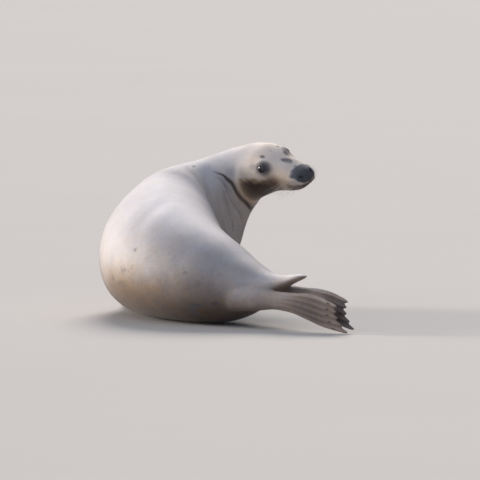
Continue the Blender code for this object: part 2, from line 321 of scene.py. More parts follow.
@dataclass
class Spine:
    """The body's middle line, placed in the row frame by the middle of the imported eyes."""

    step: float = 0.001
    eye_up: float = 0.0230  # of the eyes' middle over the middle line

    def __post_init__(self) -> None:
        """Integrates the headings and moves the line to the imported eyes."""
        places = [s.at for s in STATIONS]
        names = list(Station.__dataclass_fields__)[1:]
        self.track = {n: Curve(places, [getattr(s, n) for s in STATIONS]) for n in names}
        self.line = np.arange(places[0], places[-1] + self.step, self.step)
        turn = np.radians(self.track["heading"](self.line))
        self.x = np.cumsum(np.cos(turn)) * self.step
        self.y = np.cumsum(np.sin(turn)) * self.step
        eyes = [np.mean([list(c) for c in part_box(f"eye_{w}")], axis=0) for w in ("left", "right")]
        middle, _, _, up = self.frames(np.array([NOSE - EYE_BACK]))
        gap = np.mean(eyes, axis=0) - (middle[0] + up[0] * self.eye_up)
        self.x += gap[0]
        self.y += gap[1]

    def frames(self, at: np.ndarray) -> tuple[np.ndarray, ...]:
        """The body's own axes.

        Args:
            at: places along the spine.

        Returns:
            The middle, forward, left and up vectors at each place.
        """
        heading, pitch, roll = (np.radians(self.track[k](at)) for k in ("heading", "pitch", "roll"))
        x, y = np.interp(at, self.line, self.x), np.interp(at, self.line, self.y)
        middle = np.stack([x, y, self.track["height"](at)], axis=-1)
        flat = np.zeros_like(heading)
        level = np.stack([-np.sin(heading), np.cos(heading), flat], axis=-1)
        ahead = np.stack([np.cos(heading), np.sin(heading), flat], axis=-1)
        forward = ahead * np.cos(pitch)[..., None] + np.stack([flat, flat, np.sin(pitch)], axis=-1)
        top = np.cross(forward, level)
        left = np.cos(roll)[..., None] * level + np.sin(roll)[..., None] * top
        return middle, forward, left, np.cross(forward, left)

    def surface(self, at: np.ndarray, angle: np.ndarray, inset: np.ndarray) -> np.ndarray:
        """Points of the sections' outlines.

        Args:
            at: places along the spine.
            angle: angles round the body, from its left side over the top.
            inset: how far inside the solids, at each place.

        Returns:
            Points by place and angle.
        """
        middle, _, left, up = self.frames(at)
        size = {k: (self.track[k](at) - inset)[:, None] for k in ("half_width", "up", "down")}
        across, rise = np.cos(angle)[None], np.sin(angle)[None]
        top, bottom = (self.track[k](at)[:, None] for k in ("round_top", "round_bottom"))
        power = np.where(rise >= 0, top, bottom)
        side = np.sign(across) * np.abs(across) ** (2 / power) * size["half_width"]
        heading = self.track["heading"]
        bend = np.radians(heading(at + self.step) - heading(at - self.step))[:, None] / (2 * self.step)
        squeeze = (1 + np.abs(side * bend * BEND_ROOM) ** 4) ** 0.25
        side = np.where(side * bend > 0, side / squeeze, side)
        reach = np.where(rise >= 0, size["up"], size["down"])
        lift = np.sign(rise) * np.abs(rise) ** (2 / power) * reach
        return middle[:, None] + left[:, None] * side[..., None] + up[:, None] * lift[..., None]


def rest_on_floor(points: np.ndarray, softness: float = 0.005) -> np.ndarray:
    """Presses what would be below the floor up to it, with a rounded edge."""
    points[..., 2] = 0.5 * (points[..., 2] + np.sqrt(points[..., 2] ** 2 + softness**2)) + 0.0002
    return points


def nearest_of(source: np.ndarray, points: np.ndarray) -> tuple[np.ndarray, np.ndarray]:
    """Finds the nearest source point to each of some points.

    Args:
        source: points in rows.
        points: the same.

    Returns:
        The number of the nearest source point to each point, and how far off it is.
    """
    tree = KDTree(len(source))
    for i, point in enumerate(source.tolist()):
        tree.insert(point, i)
    tree.balance()
    found = [tree.find(point) for point in points.tolist()]
    return np.array([f[1] for f in found]), np.array([f[2] for f in found])


def grid_normals(points: np.ndarray) -> np.ndarray:
    """Outward normals of a grid of closed rings.

    Args:
        points: by ring, and by place round it.

    Returns:
        The normals, the same shape.
    """
    along = np.gradient(points, axis=0)
    around = np.roll(points, -1, axis=1) - np.roll(points, 1, axis=1)
    normals = unit(np.cross(around, along))
    outward = np.einsum("ijk,ijk->i", normals, points - points.mean(axis=1, keepdims=True))
    return normals * np.where(outward < 0, -1, 1)[:, None, None]


@dataclass(frozen=True)
class Swell:
    """A soft rise or hollow on both sides of the head, placed from the middle between the eyes."""

    ahead: float
    out: float
    up: float
    reach: float
    height: float


@dataclass(frozen=True)
class Fold:
    """A crease in the skin: the place along the spine at each angle round the body."""

    angles: tuple
    places: tuple
    depth: float
    width: float


@dataclass(frozen=True)
class Patch:
    """A soft-edged marking: its place, half sizes, and what it does to tone, warmth and spots."""

    at: float
    angle: float  # degrees
    along: float
    around: float
    tone: float = 0.0
    warm: float = 0.0
    spots: float = 0.0


@dataclass
class Face:
    """The head's own axes, taken from the spine, and the features shaped on it."""

    spine: Spine
    length: float = 0.128  # from the axes' origin, between the brows, to the nose's tip
    swells: tuple = (
        Swell(-0.006, 0.048, 0.047, 0.016, 0.0030),  # brow
        Swell(0.036, 0.040, 0.020, 0.018, -0.0030),  # hollow before the eye
        Swell(-0.010, 0.064, -0.020, 0.030, 0.0020),  # cheek
        Swell(0.062, 0.000, 0.036, 0.026, 0.0015),  # bridge of the nose
        Swell(0.096, 0.034, -0.006, 0.020, 0.0040),  # whisker pad
        Swell(0.122, 0.000, 0.014, 0.009, -0.0024),  # cleft between the nostrils
        Swell(0.116, 0.020, 0.004, 0.010, 0.0016),  # wing of the nostril
        Swell(-0.058, 0.074, 0.006, 0.005, -0.0040),  # ear opening
        Swell(-0.052, 0.074, 0.010, 0.006, 0.0012),  # rim of the ear opening
    )
    whisker_rows: int = 6
    whiskers_each: int = 7
    nostril_at: float = NOSE - 0.0145
    nostril_angle: float = 52.0  # degrees
    nostril_lean: tuple = (-0.55, 0.42, 0.30)  # the slits' long way: back, out and up
    nostril_size: tuple = (0.0075, 0.0027)  # half length and half width
    nostril_depth: float = 0.0110
    groove: tuple = (0.0022, 0.0024)  # half width and depth of the groove of the upper lip
    chin_back: float = 0.0055  # of the chin's front behind the upper lip
    mouth_up: float = -0.0160
    mouth_corner: float = 0.040  # ahead of the eyes
    mouth_rise: float = 0.0060  # of the corner
    look: tuple = (0.18, 0.92, 0.32)  # of the left eye: ahead, out and up
    lid_open: tuple = (0.70, 0.56)  # sines of the opening's half angles, along and across
    lid_power: float = 1.65  # 2 is an oval, and less draws the corners out
    lid_room: float = 0.0014  # of the skin over the eyeball

    def __post_init__(self) -> None:
        """Takes the head's axes from the spine and the eyes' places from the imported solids."""
        middle, forward, left, up = self.spine.frames(np.array([NOSE - self.length]))
        self.origin = middle[0]
        self.axes = np.stack([forward[0], left[0], up[0]])
        self.eyes = {}
        for side, word in ((1, "left"), (-1, "right")):
            self.eyes[side] = np.mean([list(c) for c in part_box(f"eye_{word}")], axis=0)

    def local(self, points: np.ndarray) -> np.ndarray:
        """Points as distances ahead of the eyes, to the left and up, in the head's axes."""
        return (points - self.origin) @ self.axes.T

    def folded(self, points: np.ndarray) -> np.ndarray:
        """The same, with the right side folded over onto the left."""
        return self.local(points) * (1, 0, 1) + np.abs(self.local(points)) * (0, 1, 0)

    def gaze(self, side: int) -> np.ndarray:
        """Three axes of an eye.

        Args:
            side: 1 on the left and -1 on the right.

        Returns:
            Outward through the pupil, forward along the lids, and across them.
        """
        ahead, outward, up = self.look
        out = unit(np.array([ahead, outward * side, up]) @ self.axes)
        ahead = self.axes[0] - self.axes[2] * 0.12
        ahead = unit(ahead - out * (ahead @ out))
        return np.stack([out, ahead, np.cross(ahead, out) * side])

    def whisker_roots(self) -> list[tuple[tuple, float]]:
        """Where the left whiskers grow.

        Returns:
            Each root's place in the head's axes, and how far back it is in its row, from 0 to 1.
        """
        roots = []
        for row in range(self.whisker_rows):
            for step in range(self.whiskers_each):
                share = step / (self.whiskers_each - 1)
                ahead = 0.116 - 0.042 * share + 0.003 * (row % 2)
                out = 0.024 + 0.016 * math.sin(share * 1.6)
                roots.append(((ahead, out, 0.003 - 0.0034 * row + 0.003 * share), share))
        return roots

    def opening(self, turned: np.ndarray) -> np.ndarray:
        """How far out a ray from an eye's middle is: 1 at the lids' edge, less inside it."""
        along, across = (np.abs(turned[..., k + 1]) / self.lid_open[k] for k in (0, 1))
        return (along**self.lid_power + across**self.lid_power) ** (1 / self.lid_power)

    def shape(self, points: np.ndarray, normals: np.ndarray, at: np.ndarray) -> np.ndarray:
        """Moves the head's surface into its features.

        Args:
            points: the smooth surface, by place and angle.
            normals: outward, the same shape.
            at: places along the spine.

        Returns:
            The new points.
        """
        fold = self.folded(points)
        row = int(np.argmin(np.abs(at - self.nostril_at)))
        self.nostril = fold[row, round((self.nostril_angle + 90) / 360 * AROUND)]
        rise = np.zeros(points.shape[:2])
        for swell in self.swells:
            away = np.linalg.norm(fold - (swell.ahead, swell.out, swell.up), axis=-1)
            rise += swell.height * np.exp(-((away / swell.reach) ** 2))
        rise += self.nostrils(fold) + self.mouth(fold)
        points = points + normals * (rise * smooth_step(1.10, 1.14, at)[:, None])[..., None]
        for side, eye in self.eyes.items():
            points = self.open_lids(points, eye, self.gaze(side))
        return points

    def nostrils(self, fold: np.ndarray) -> np.ndarray:
        """How far the nostril slits sink and their rims rise.

        Args:
            fold: places in the head's axes, folded over onto the left.

        Returns:
            The rise at each place.
        """
        lean = unit(np.array(self.nostril_lean))
        away = fold - self.nostril
        along = away @ lean
        across = np.linalg.norm(away - along[..., None] * lean, axis=-1)
        length, width = self.nostril_size
        slit = np.exp(-((along / length) ** 4) - (across / width) ** 2)
        rim = np.exp(-((along / (length * 1.3)) ** 4) - (across / (width * 2.3)) ** 2)
        return 0.0016 * rim - self.nostril_depth * slit

    def mouth(self, fold: np.ndarray) -> np.ndarray:
        """How far the mouth's line sinks, with lips beside it and the chin set back.

        Args:
            fold: places in the head's axes, folded over onto the left.

        Returns:
            The rise at each place.
        """
        back = smooth_step(self.mouth_corner + 0.025, self.mouth_corner, fold[..., 0])
        line = self.mouth_up + self.mouth_rise * back
        near = smooth_step(self.mouth_corner - 0.004, self.mouth_corner + 0.006, fold[..., 0])
        off = fold[..., 2] - line
        lips = near * (0.0012 * np.exp(-((off / 0.006) ** 2)) - 0.0045 * np.exp(-((off / 0.0019) ** 2)))
        chin = smooth_step(self.mouth_up, self.mouth_up - 0.006, fold[..., 2])
        chin = chin * smooth_step(0.020, 0.100, fold[..., 0])
        upper = smooth_step(self.mouth_up, self.mouth_up + 0.003, fold[..., 2])
        upper = upper * smooth_step(0.012, 0.006, fold[..., 2])
        groove = np.exp(-((fold[..., 1] / self.groove[0]) ** 2))
        groove = groove * smooth_step(0.100, 0.108, fold[..., 0])
        return lips - self.chin_back * chin - self.groove[1] * groove * upper

    def open_lids(self, points: np.ndarray, eye: np.ndarray, axes: np.ndarray) -> np.ndarray:
        """Wraps the skin over an eyeball and opens it in an almond.

        Args:
            points: the surface.
            eye: the eyeball's middle.
            axes: the eye's axes, from gaze.

        Returns:
            The new points.
        """
        away = points - eye
        distance = np.linalg.norm(away, axis=-1)
        turned = (away / distance[..., None]) @ axes.T
        opening = self.opening(turned)
        lid = EYE_RADIUS + self.lid_room
        over = np.maximum(smooth_step(1.02, 1.42, opening), smooth_step(0.45, 0.15, turned[..., 0]))
        cover = np.maximum(lid + (distance - lid) * over, lid)
        inside = smooth_step(1.0, 0.86, opening)
        cover = cover + (EYE_RADIUS - 0.005 - cover) * inside
        near = smooth_step(0.10, 0.42, turned[..., 0]) * smooth_step(0.042, 0.028, distance)
        wrapped = eye + (away / distance[..., None]) * cover[..., None]
        return points + (wrapped - points) * near[..., None]


@dataclass
class Trunk:
    """The long surface from the tail's tip to the nose."""

    spine: Spine
    face: Face

    stretches: tuple = (
        (-TAIL_LENGTH, 0.0, 0.0030),
        (0.0, 0.90, 0.0070),
        (0.90, 1.10, 0.0032),
        (1.10, 1.225, 0.0020),
        (1.225, NOSE - 0.007, 0.0012),
    )
    coat_depth: Curve = Curve(
        (-0.088, -0.05, 0.1, 1.0, 1.15, 1.25, NOSE),
        (0.0004, 0.001, 0.003, 0.003, 0.002, 0.0010, 0.0006),
    )
    hair: Curve = Curve(  # the tufts' length
        (-0.088, 0.0, 0.2, 1.0, 1.15, 1.22, 1.30, NOSE),
        (0.0045, 0.0056, 0.0063, 0.0063, 0.0060, 0.0052, 0.0042, 0.0033),
    )
    close: float = 0.007  # the rounded ends' length
    close_rings: int = 16
    bare_bend: float = 22.0  # per metre: no tufts stand in the neck's folds where they bend more
    bare_squeeze: float = 0.36  # nor where the rings lie closer together than this share of their step
    fold_bulge: float = 0.30  # how far the skin swells beside a fold, as a share of its depth
    fold_bulge_at: float = 1.8  # from the fold's middle, in its widths
    fold_dark: float = 44.0  # painted shade in the folds: tone lost to each metre of a fold's depth
    region_starts: tuple = (1.112, 0.95, 0.80, 0.64, 0.48, 0.30)  # along the spine, from the head back
    folds: tuple = (
        Fold((122, 134, 152, 186, 226, 272), (1.036, 1.056, 1.094, 1.127, 1.133, 1.108), 0.0100, 0.0056),
        Fold((118, 132, 150, 186, 222, 250), (1.008, 1.026, 1.066, 1.098, 1.104, 1.086), 0.0024, 0.0085),
        Fold((126, 140, 160, 190, 222), (0.968, 0.986, 1.022, 1.054, 1.060), 0.0012, 0.0120),
        Fold((225, 240, 258, 275), (1.040, 1.046, 1.040, 1.028), 0.0014, 0.0130),
        Fold((18, 40, 66, 92), (0.400, 0.440, 0.480, 0.520), 0.0022, 0.0340),
    )

    def places(self) -> np.ndarray:
        """Spaces the rings, closest on the muzzle.

        Returns:
            Places along the spine.
        """
        runs = []
        for start, end, step in self.stretches:
            runs.append(np.linspace(start, end, int(round((end - start) / step)), endpoint=False))
        radii = np.linspace(1.0, 0.02, self.close_rings)
        return np.concatenate([*runs, NOSE - self.close * (1 - np.sqrt(1 - radii**2))])

    def build(self) -> Surface:
        """Builds the trunk's surface with its folds and face.

        Returns:
            The grid, with what the coat needs at each point.
        """
        at = self.places()
        angle = -math.pi / 2 + 2 * math.pi * np.arange(AROUND) / AROUND
        end = np.minimum(at + TAIL_LENGTH, NOSE - at)
        closing = np.sqrt(np.clip(1 - (1 - np.clip(end / self.close, 0, 1)) ** 2, 0.0004, 1))
        points = self.spine.surface(at, angle, self.coat_depth(at))
        middle = self.spine.frames(at)[0]
        points = middle[:, None] + (points - middle[:, None]) * closing[:, None, None]
        normals = grid_normals(points)
        degrees = np.degrees(angle)[None]
        lie = -unit(np.gradient(points, axis=0))
        creases = self.creases(at, degrees)
        points = points + normals * creases[..., None]
        points = self.face.shape(points, normals, at)
        points = rest_on_floor(points)
        normals = grid_normals(points)
        turn = np.arange(AROUND) / AROUND
        mirrored = 1 - np.abs(2 * turn - 1)
        streak = np.stack(np.broadcast_arrays(mirrored[None] * 0.5, at[:, None], 0.0), axis=-1)
        run = 0.02 + 0.96 * (at + TAIL_LENGTH)[:, None] / (NOSE + TAIL_LENGTH)
        unwrap = np.stack(np.broadcast_arrays(0.02 + 0.74 * turn[None], run, 0.0), axis=-1)
        marks = Markings(self.face).trunk(at, degrees, points)
        # Painted shade: the skin's tone darkens with the depth of each fold.
        marks[..., 0] = np.clip(marks[..., 0] + self.fold_dark * np.minimum(creases + 0.001, 0), 0, 1)
        fur = self.fur(at, points) * self.calm(at, degrees, points, normals)
        return Surface(points, normals, lie, streak, unwrap, marks, fur, self.regions(at))

    def calm(
        self, at: np.ndarray, degrees: np.ndarray, points: np.ndarray, normals: np.ndarray
    ) -> np.ndarray:
        """How far each point is fit for tufts: less on the lips and in the hollows of the neck's folds.

        Args:
            at: places along the spine.
            degrees: angles round the body.
            points: the surface.
            normals: its normals.

        Returns:
            Shares from 0 to 1.
        """
        step, turn = np.gradient(points, axis=0), np.gradient(normals, axis=0)
        length = np.linalg.norm(step, axis=-1)
        bend = np.linalg.norm(turn, axis=-1) / np.maximum(length, 1e-5)
        squeeze = length / np.gradient(at)[:, None]
        for _ in range(2):
            bend = np.max([bend, np.roll(bend, 1, axis=0), np.roll(bend, -1, axis=0)], axis=0)
            squeeze = np.min([squeeze, np.roll(squeeze, 1, axis=0), np.roll(squeeze, -1, axis=0)], axis=0)
        even = smooth_step(self.bare_bend, 0.5 * self.bare_bend, bend)
        even = even * smooth_step(self.bare_squeeze, self.bare_squeeze + 0.1, squeeze)
        neck = (smooth_step(0.80, 0.84, at) * smooth_step(1.175, 1.16, at))[:, None]
        turned = np.where(degrees < 0, degrees + 360, degrees)
        inner = smooth_step(96, 108, turned) * smooth_step(300, 288, turned)
        return 1 - neck * inner * (1 - even)

    def creases(self, at: np.ndarray, degrees: np.ndarray) -> np.ndarray:
        """The folds' relief, with the skin swelling beside them.

        Args:
            at: places along the spine.
            degrees: angles round the body.

        Returns:
            The rise at each point, less than nought in the folds.
        """
        rise = np.zeros((len(at), degrees.shape[1]))
        turned = np.where(degrees < 0, degrees + 360, degrees)
        for fold in self.folds:
            angles = np.array(fold.angles, float)
            course = Curve(angles, fold.places)(turned)
            fade = smooth_step(angles[0] - 12, angles[0] + 34, turned)
            fade = fade * smooth_step(angles[-1] + 10, angles[-1] - 14, turned)
            off = (at[:, None] - course) / fold.width
            bulge = self.fold_bulge * np.exp(-((np.abs(off) - self.fold_bulge_at) ** 2))
            rise += fold.depth * fade * (bulge - np.exp(-(off**2)))
        return rise

    def fur(self, at: np.ndarray, points: np.ndarray) -> np.ndarray:
        """Sets the tufts' length: none on the nose pad, round the eyes or where the body rests.

        Args:
            at: places along the spine.
            points: the surface.

        Returns:
            The length at each point, nought where there are none.
        """
        here = self.face.local(points)
        head = smooth_step(1.10, 1.14, at)[:, None]
        size = self.hair(at)[:, None] * np.ones_like(points[..., 0])
        nose = smooth_step(0.105, 0.116, here[..., 0]) * smooth_step(-0.012, -0.004, here[..., 2])
        size = size * (1 - nose * head)
        for side, eye in self.face.eyes.items():
            axes = self.face.gaze(side)
            turned = unit(points - eye) @ axes.T
            near = np.linalg.norm(points - eye, axis=-1) < 0.03
            opening = self.face.opening(turned)
            size = np.where(near & (turned[..., 0] > 0) & (opening < 1.13), 0, size)
        size = np.where(points[..., 2] < 0.006, 0, size)
        return np.where(size < 0.002, 0, size)

    def regions(self, at: np.ndarray) -> np.ndarray:
        """Shares the trunk out among the coat's parts.

        Args:
            at: places along the spine.

        Returns:
            The number of the part at each point.
        """
        order = list(Region)
        bounds = tuple(zip(self.region_starts, order))
        part = np.full(len(at), order.index(Region.HINDQUARTERS))
        for start, region in reversed(bounds):
            part = np.where(at >= start, order.index(region), part)
        return np.repeat(part[:, None], AROUND, axis=1)


@dataclass
class Surface:
    """A grid of closed rings, with what the coat needs at each point."""

    points: np.ndarray  # by ring, and by place round it, as are all the others
    normals: np.ndarray  # outward
    lie: np.ndarray  # the hair's direction
    streak: np.ndarray  # places that the hair's locks are drawn by: across them, and along them
    unwrap: np.ndarray  # places on the flat map of the skin, from 0 to 1
    marks: np.ndarray  # tone, warmth and spots
    fur: np.ndarray  # the tufts' length
    region: np.ndarray  # the number of the coat's part

    def mesh(self, name: str) -> bpy.types.Object:
        """Makes a closed mesh through the rings, with a strip from side to side over each end.

        Args:
            name: the object's name.

        Returns:
            The object.
        """
        count = self.points.shape[1]
        rows = np.arange(self.points.shape[0] * count).reshape(-1, count)
        a, b = rows[:-1].ravel(), np.roll(rows, -1, axis=1)[:-1].ravel()
        c, d = np.roll(rows, -1, axis=1)[1:].ravel(), rows[1:].ravel()
        faces = np.stack([a, b, c, d], axis=1).tolist()
        for row in (rows[0], rows[-1]):
            for i in range(count // 2):
                strip = (row[i], row[i + 1], row[count - i - 1], row[(count - i) % count])
                faces.append(list(dict.fromkeys(int(corner) for corner in strip)))
        return mesh_object(name, self.points.reshape(-1, 3).tolist(), faces, recalculate=True)


def linked(name: str, data: bpy.types.ID) -> bpy.types.Object:
    """Makes an object of a mesh, a light or a camera, linked to the scene."""
    made = bpy.data.objects.new(name, data)
    bpy.context.scene.collection.objects.link(made)
    return made


def mesh_object(name: str, points: list, faces: list, recalculate: bool = False) -> bpy.types.Object:
    """Makes an object of points and faces, smooth shaded.

    Args:
        name: the object's name.
        points: its corners.
        faces: corner numbers of each face.
        recalculate: whether to merge doubles and turn the faces outward.

    Returns:
        The object, linked to the scene.
    """
    mesh = bpy.data.meshes.new(name)
    mesh.from_pydata(points, [], faces)
    if recalculate:
        shape = bmesh.new()
        shape.from_mesh(mesh)
        bmesh.ops.remove_doubles(shape, verts=shape.verts, dist=1e-6)
        bmesh.ops.recalc_face_normals(shape, faces=shape.faces)
        shape.to_mesh(mesh)
        shape.free()
    mesh.shade_smooth()
    return linked(name, mesh)


def finish_piece(
    piece: bpy.types.Object, material: bpy.types.Material, nodes: tuple = ()
) -> None:
    """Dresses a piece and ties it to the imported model.

    Args:
        piece: the object.
        material: its finish.
        nodes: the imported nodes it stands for.
    """
    if not piece.data.materials:
        piece.data.materials.append(material)
    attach(piece, BODY)
    if nodes:
        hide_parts(*nodes)
    LOG.info("%s: %d faces", piece.name, len(piece.data.polygons))


@dataclass
class Markings:
    """Tone (0 dark to 1 pale), warmth (0 slate to 1 brown) and spots over the body, some of it painted
    light and shade.
    """

    face: Face

    patches: tuple = (
        Patch(0.60, 90, 0.42, 0.16, tone=0.10, warm=-0.10),  # pale back
        Patch(0.98, 190, 0.10, 0.10, tone=-0.04, warm=0.10),  # painted shade, a little warmer, on the neck's right side and underside (this and the next)
        Patch(0.90, 180, 0.09, 0.10, tone=-0.05, warm=0.08),
        Patch(0.50, 16, 0.17, 0.09, tone=0.17, warm=0.02),  # pale left flank
        Patch(0.45, 84, 0.13, 0.06, tone=0.12),  # palest stripe of the back: a painted highlight along its ridge
        Patch(0.88, 112, 0.09, 0.09, tone=-0.09, warm=0.05),  # greyer shoulders
        # Painted shade on the top of the rump.
        Patch(0.11, 86, 0.10, 0.06, tone=-0.10),
        # Painted shade in the middle of the left flank.
        Patch(0.328, 46, 0.08, 0.06, tone=-0.07),
        Patch(0.06, -15, 0.08, 0.05, tone=0.22, warm=-0.15),
        Patch(0.43, -14, 0.09, 0.05, tone=-0.14, warm=0.30),  # stained flank, where it lies
        # Painted shade, a little cooler, on the right of the nape.
        Patch(1.10, 150, 0.035, 0.05, tone=-0.10, warm=-0.1),
        Patch(0.62, -60, 0.55, 0.14, tone=-0.22, warm=0.30),  # belly
        Patch(0.16, -60, 0.30, 0.14, tone=-0.26, warm=0.35),
        Patch(0.05, 20, 0.14, 0.09, tone=-0.06, warm=-0.05),  # rump
        Patch(-0.05, 60, 0.06, 0.06, tone=0.22, warm=0.05),  # painted light, a little warmer, on the tail's upper side
        Patch(1.19, 90, 0.08, 0.06, tone=0.12, warm=0.12),  # crown: warmer cream, and paler as painted light on the top of the head
        Patch(1.215, 150, 0.05, 0.05, tone=0.14, warm=0.25),  # temples
        Patch(1.215, 30, 0.05, 0.05, tone=0.14, warm=0.25),
        Patch(1.264, 188, 0.024, 0.020, tone=-0.27, warm=0.15),  # cheeks
        Patch(1.264, -8, 0.024, 0.020, tone=-0.27, warm=0.15),
        Patch(1.145, 200, 0.0095, 0.10, tone=0.24, warm=0.10),  # pale edge of the neck's fold
        Patch(1.29, 168, 0.03, 0.03, tone=-0.10, warm=0.40),  # whisker pads
        Patch(1.29, 12, 0.03, 0.03, tone=-0.10, warm=0.40),
    )
    spots: tuple = (
        Patch(1.216, 112, 0.009, 0.008, spots=1.0),  # over the right eye
        Patch(1.214, 60, 0.008, 0.008, spots=0.9),
        Patch(1.219, 88, 0.004, 0.004, spots=0.7),
        Patch(1.281, 84, 0.015, 0.010, spots=1.0),  # bridge of the nose
        Patch(1.272, 91, 0.013, 0.008, spots=0.9),
        Patch(1.253, 62, 0.014, 0.010, tone=-0.40, spots=1.0),  # before the left eye
        Patch(0.430, 2, 0.016, 0.020, warm=0.3, spots=0.62),  # low on the left flank
        Patch(0.397, 6, 0.012, 0.018, warm=0.3, spots=0.58),
        Patch(0.440, -12, 0.030, 0.016, warm=0.4, spots=0.60),
        Patch(0.480, -8, 0.024, 0.014, warm=0.4, spots=0.58),
        Patch(0.335, -10, 0.018, 0.010, warm=0.3, spots=0.5),
        Patch(0.215, -30, 0.030, 0.014, spots=0.8),
        Patch(0.160, -28, 0.024, 0.012, spots=0.7),
        Patch(0.980, 100, 0.010, 0.008, spots=0.9),  # on the nape
        Patch(0.955, 96, 0.012, 0.006, spots=0.8),
        Patch(0.480, 62, 0.010, 0.010, spots=0.5),
    )
    scatter: int = 150  # blotches strewn at random, before the thinning towards the back

    @staticmethod
    def spread(patch: Patch, at: np.ndarray, degrees: np.ndarray, points: np.ndarray) -> np.ndarray:
        """How much of a patch lies at each point.

        Args:
            patch: the patch.
            at: places along the spine.
            degrees: angles round the body.
            points: the surface.

        Returns:
            Shares from 0 to 1.
        """
        row = int(np.argmin(np.abs(at - patch.at)))
        radius = np.linalg.norm(points[row] - points[row].mean(axis=0), axis=-1).mean()
        turn = (degrees - patch.angle + 180) % 360 - 180
        off = np.hypot((at[:, None] - patch.at) / patch.along, np.radians(turn) * radius / patch.around)
        return np.exp(-(off**2) * 0.8)

    def scattered(self) -> list[Patch]:
        """Strews blotches over the flanks, larger and darker low down.

        Returns:
            The blotches.
        """
        draw = np.random.default_rng(SEED)
        made = []
        for _ in range(self.scatter):
            at, angle = draw.uniform(0.04, 1.12), draw.uniform(-90, 270)
            low = (1 - math.sin(math.radians(angle))) / 2
            if draw.random() > 0.25 + 0.75 * low:
                continue
            size = draw.uniform(0.005, 0.012) + 0.018 * low * draw.random()
            long = size * draw.uniform(0.9, 1.7)
            made.append(Patch(at, angle, long, size, spots=draw.uniform(0.34, 0.52) + 0.16 * low))
        return made

    def trunk(self, at: np.ndarray, degrees: np.ndarray, points: np.ndarray) -> np.ndarray:
        """The markings of the trunk and head.

        Args:
            at: places along the spine.
            degrees: angles round the body.
            points: the surface.

        Returns:
            Tone, warmth and spots at each point.
        """
        height = np.sin(np.radians(degrees)) * np.ones_like(at)[:, None]
        tone = 0.66 + 0.08 * height
        warm = 0.30 - 0.12 * height
        spots = np.zeros_like(tone)
        head = smooth_step(1.09, 1.20, at)[:, None]
        tone = tone + head * 0.06
        warm = warm + head * 0.42
        for patch in (*self.patches, *self.spots, *self.scattered()):
            share = self.spread(patch, at, degrees, points)
            tone += patch.tone * share
            warm += patch.warm * share
            spots = np.maximum(spots, patch.spots * share)
        tone, warm = self.head(points, tone, warm, smooth_step(1.10, 1.16, at)[:, None])
        return np.stack([np.clip(tone, 0, 1), np.clip(warm, 0, 1), spots], axis=-1)

    def head(
        self, points: np.ndarray, tone: np.ndarray, warm: np.ndarray, share: np.ndarray
    ) -> tuple[np.ndarray, np.ndarray]:
        """Adds the nose's slate, the rings round the eyes, and the wet throat and dark chin, both partly
        painted shade under the jaw.

        Args:
            points: the surface.
            tone: so far, at each point.
            warm: the warmth so far.
            share: 1 on the head and 0 behind it.

        Returns:
            The new tone and warmth.
        """
        here = self.face.local(points)
        ahead, out, up = here[..., 0], np.abs(here[..., 1]), here[..., 2]
        # The nose's slate, the chin and the throat, all with uneven edges.
        torn = 0.0022 * np.sin(ahead * 310 + out * 190) * np.sin(up * 350 + ahead * 90 + 1.0)
        low = -0.003 + 0.9 * np.maximum(out - 0.020, 0) - 0.15 * np.maximum(ahead - 0.100, 0) + torn
        slate = smooth_step(0.073, 0.086, ahead - 0.25 * out + torn)
        slate = slate * smooth_step(low - 0.003, low + 0.006, up)
        # The chin: dark wet lips, darkened further as painted shade under the muzzle.
        chin = smooth_step(0.066, 0.090, ahead) * smooth_step(-0.002, -0.012, up + 0.6 * torn) * 0.85
        ragged = 0.0028 * np.sin(ahead * 210 + 1.0) * np.sin(up * 160 + ahead * 60) + torn
        # The throat: a wet brown stain, darkened further as painted shade under the jaw.
        throat = np.exp(-(((ahead + 0.020) / 0.055) ** 4))
        throat = throat * smooth_step(0.005, -0.026, up + ragged) * share
        # A dark ring round each eye, with a pale one over it.
        for side, eye in self.face.eyes.items():
            axes = self.face.gaze(side)
            away = (points - eye) @ axes.T
            round_eye = np.hypot((away[..., 1] - 0.006) / 0.0245, (away[..., 2] - 0.003) / 0.0205)
            outer = smooth_step(-0.022, -0.004, away[..., 0]) * share
            close = np.exp(-(round_eye**4)) * outer
            above = smooth_step(-0.010, 0.016, away[..., 2] - 0.8 * away[..., 1])
            tone = tone + 0.24 * np.exp(-(((round_eye - 1.32) / 0.24) ** 2)) * outer * above
            tone = tone + (0.17 - tone) * close * 0.95
            warm = warm * (1 - 0.85 * close)
        rust = np.exp(-(((throat - 0.35) / 0.28) ** 2)) * smooth_step(0.02, 0.2, throat)
        warm = warm + 0.55 * rust
        tone = tone - 0.10 * rust
        top = 0.17 + 0.11 * smooth_step(0.000, 0.016, up) * smooth_step(0.118, 0.092, ahead)
        for mask, dark, hue in ((throat, 0.09, 0.90), (chin, 0.13, 0.50), (slate, top, 0.05)):
            mask = mask * share
            tone = tone + (dark - tone) * mask * 0.92
            warm = warm + (hue - warm) * mask * 0.92
        # A dark dot at each whisker's root, and painted shade that turns the nostrils black the deeper
        # they sink.
        fold = self.face.folded(points)
        off = np.full(tone.shape, 1.0)
        for root, _ in self.face.whisker_roots():
            off = np.minimum(off, np.linalg.norm(fold - root, axis=-1))
        tone = tone * (1 - 0.45 * smooth_step(0.0026, 0.0010, off))
        nostril_shade = smooth_step(-0.0008, -0.0040, self.face.nostrils(fold)) * share
        return tone * (1 - nostril_shade), warm

    @staticmethod
    def limb(share: np.ndarray, across: np.ndarray, hind: bool) -> np.ndarray:
        """The markings of a leg and flipper.

        Args:
            share: of the limb's length, at each point.
            across: place from one edge at -1 to the other at 1.
            hind: whether it is a hind limb, which has a pale upper edge and painted shade towards its
                lower edge.

        Returns:
            Tone, warmth and spots at each point.
        """
        reach = smooth_step(0.12, 0.62, share)
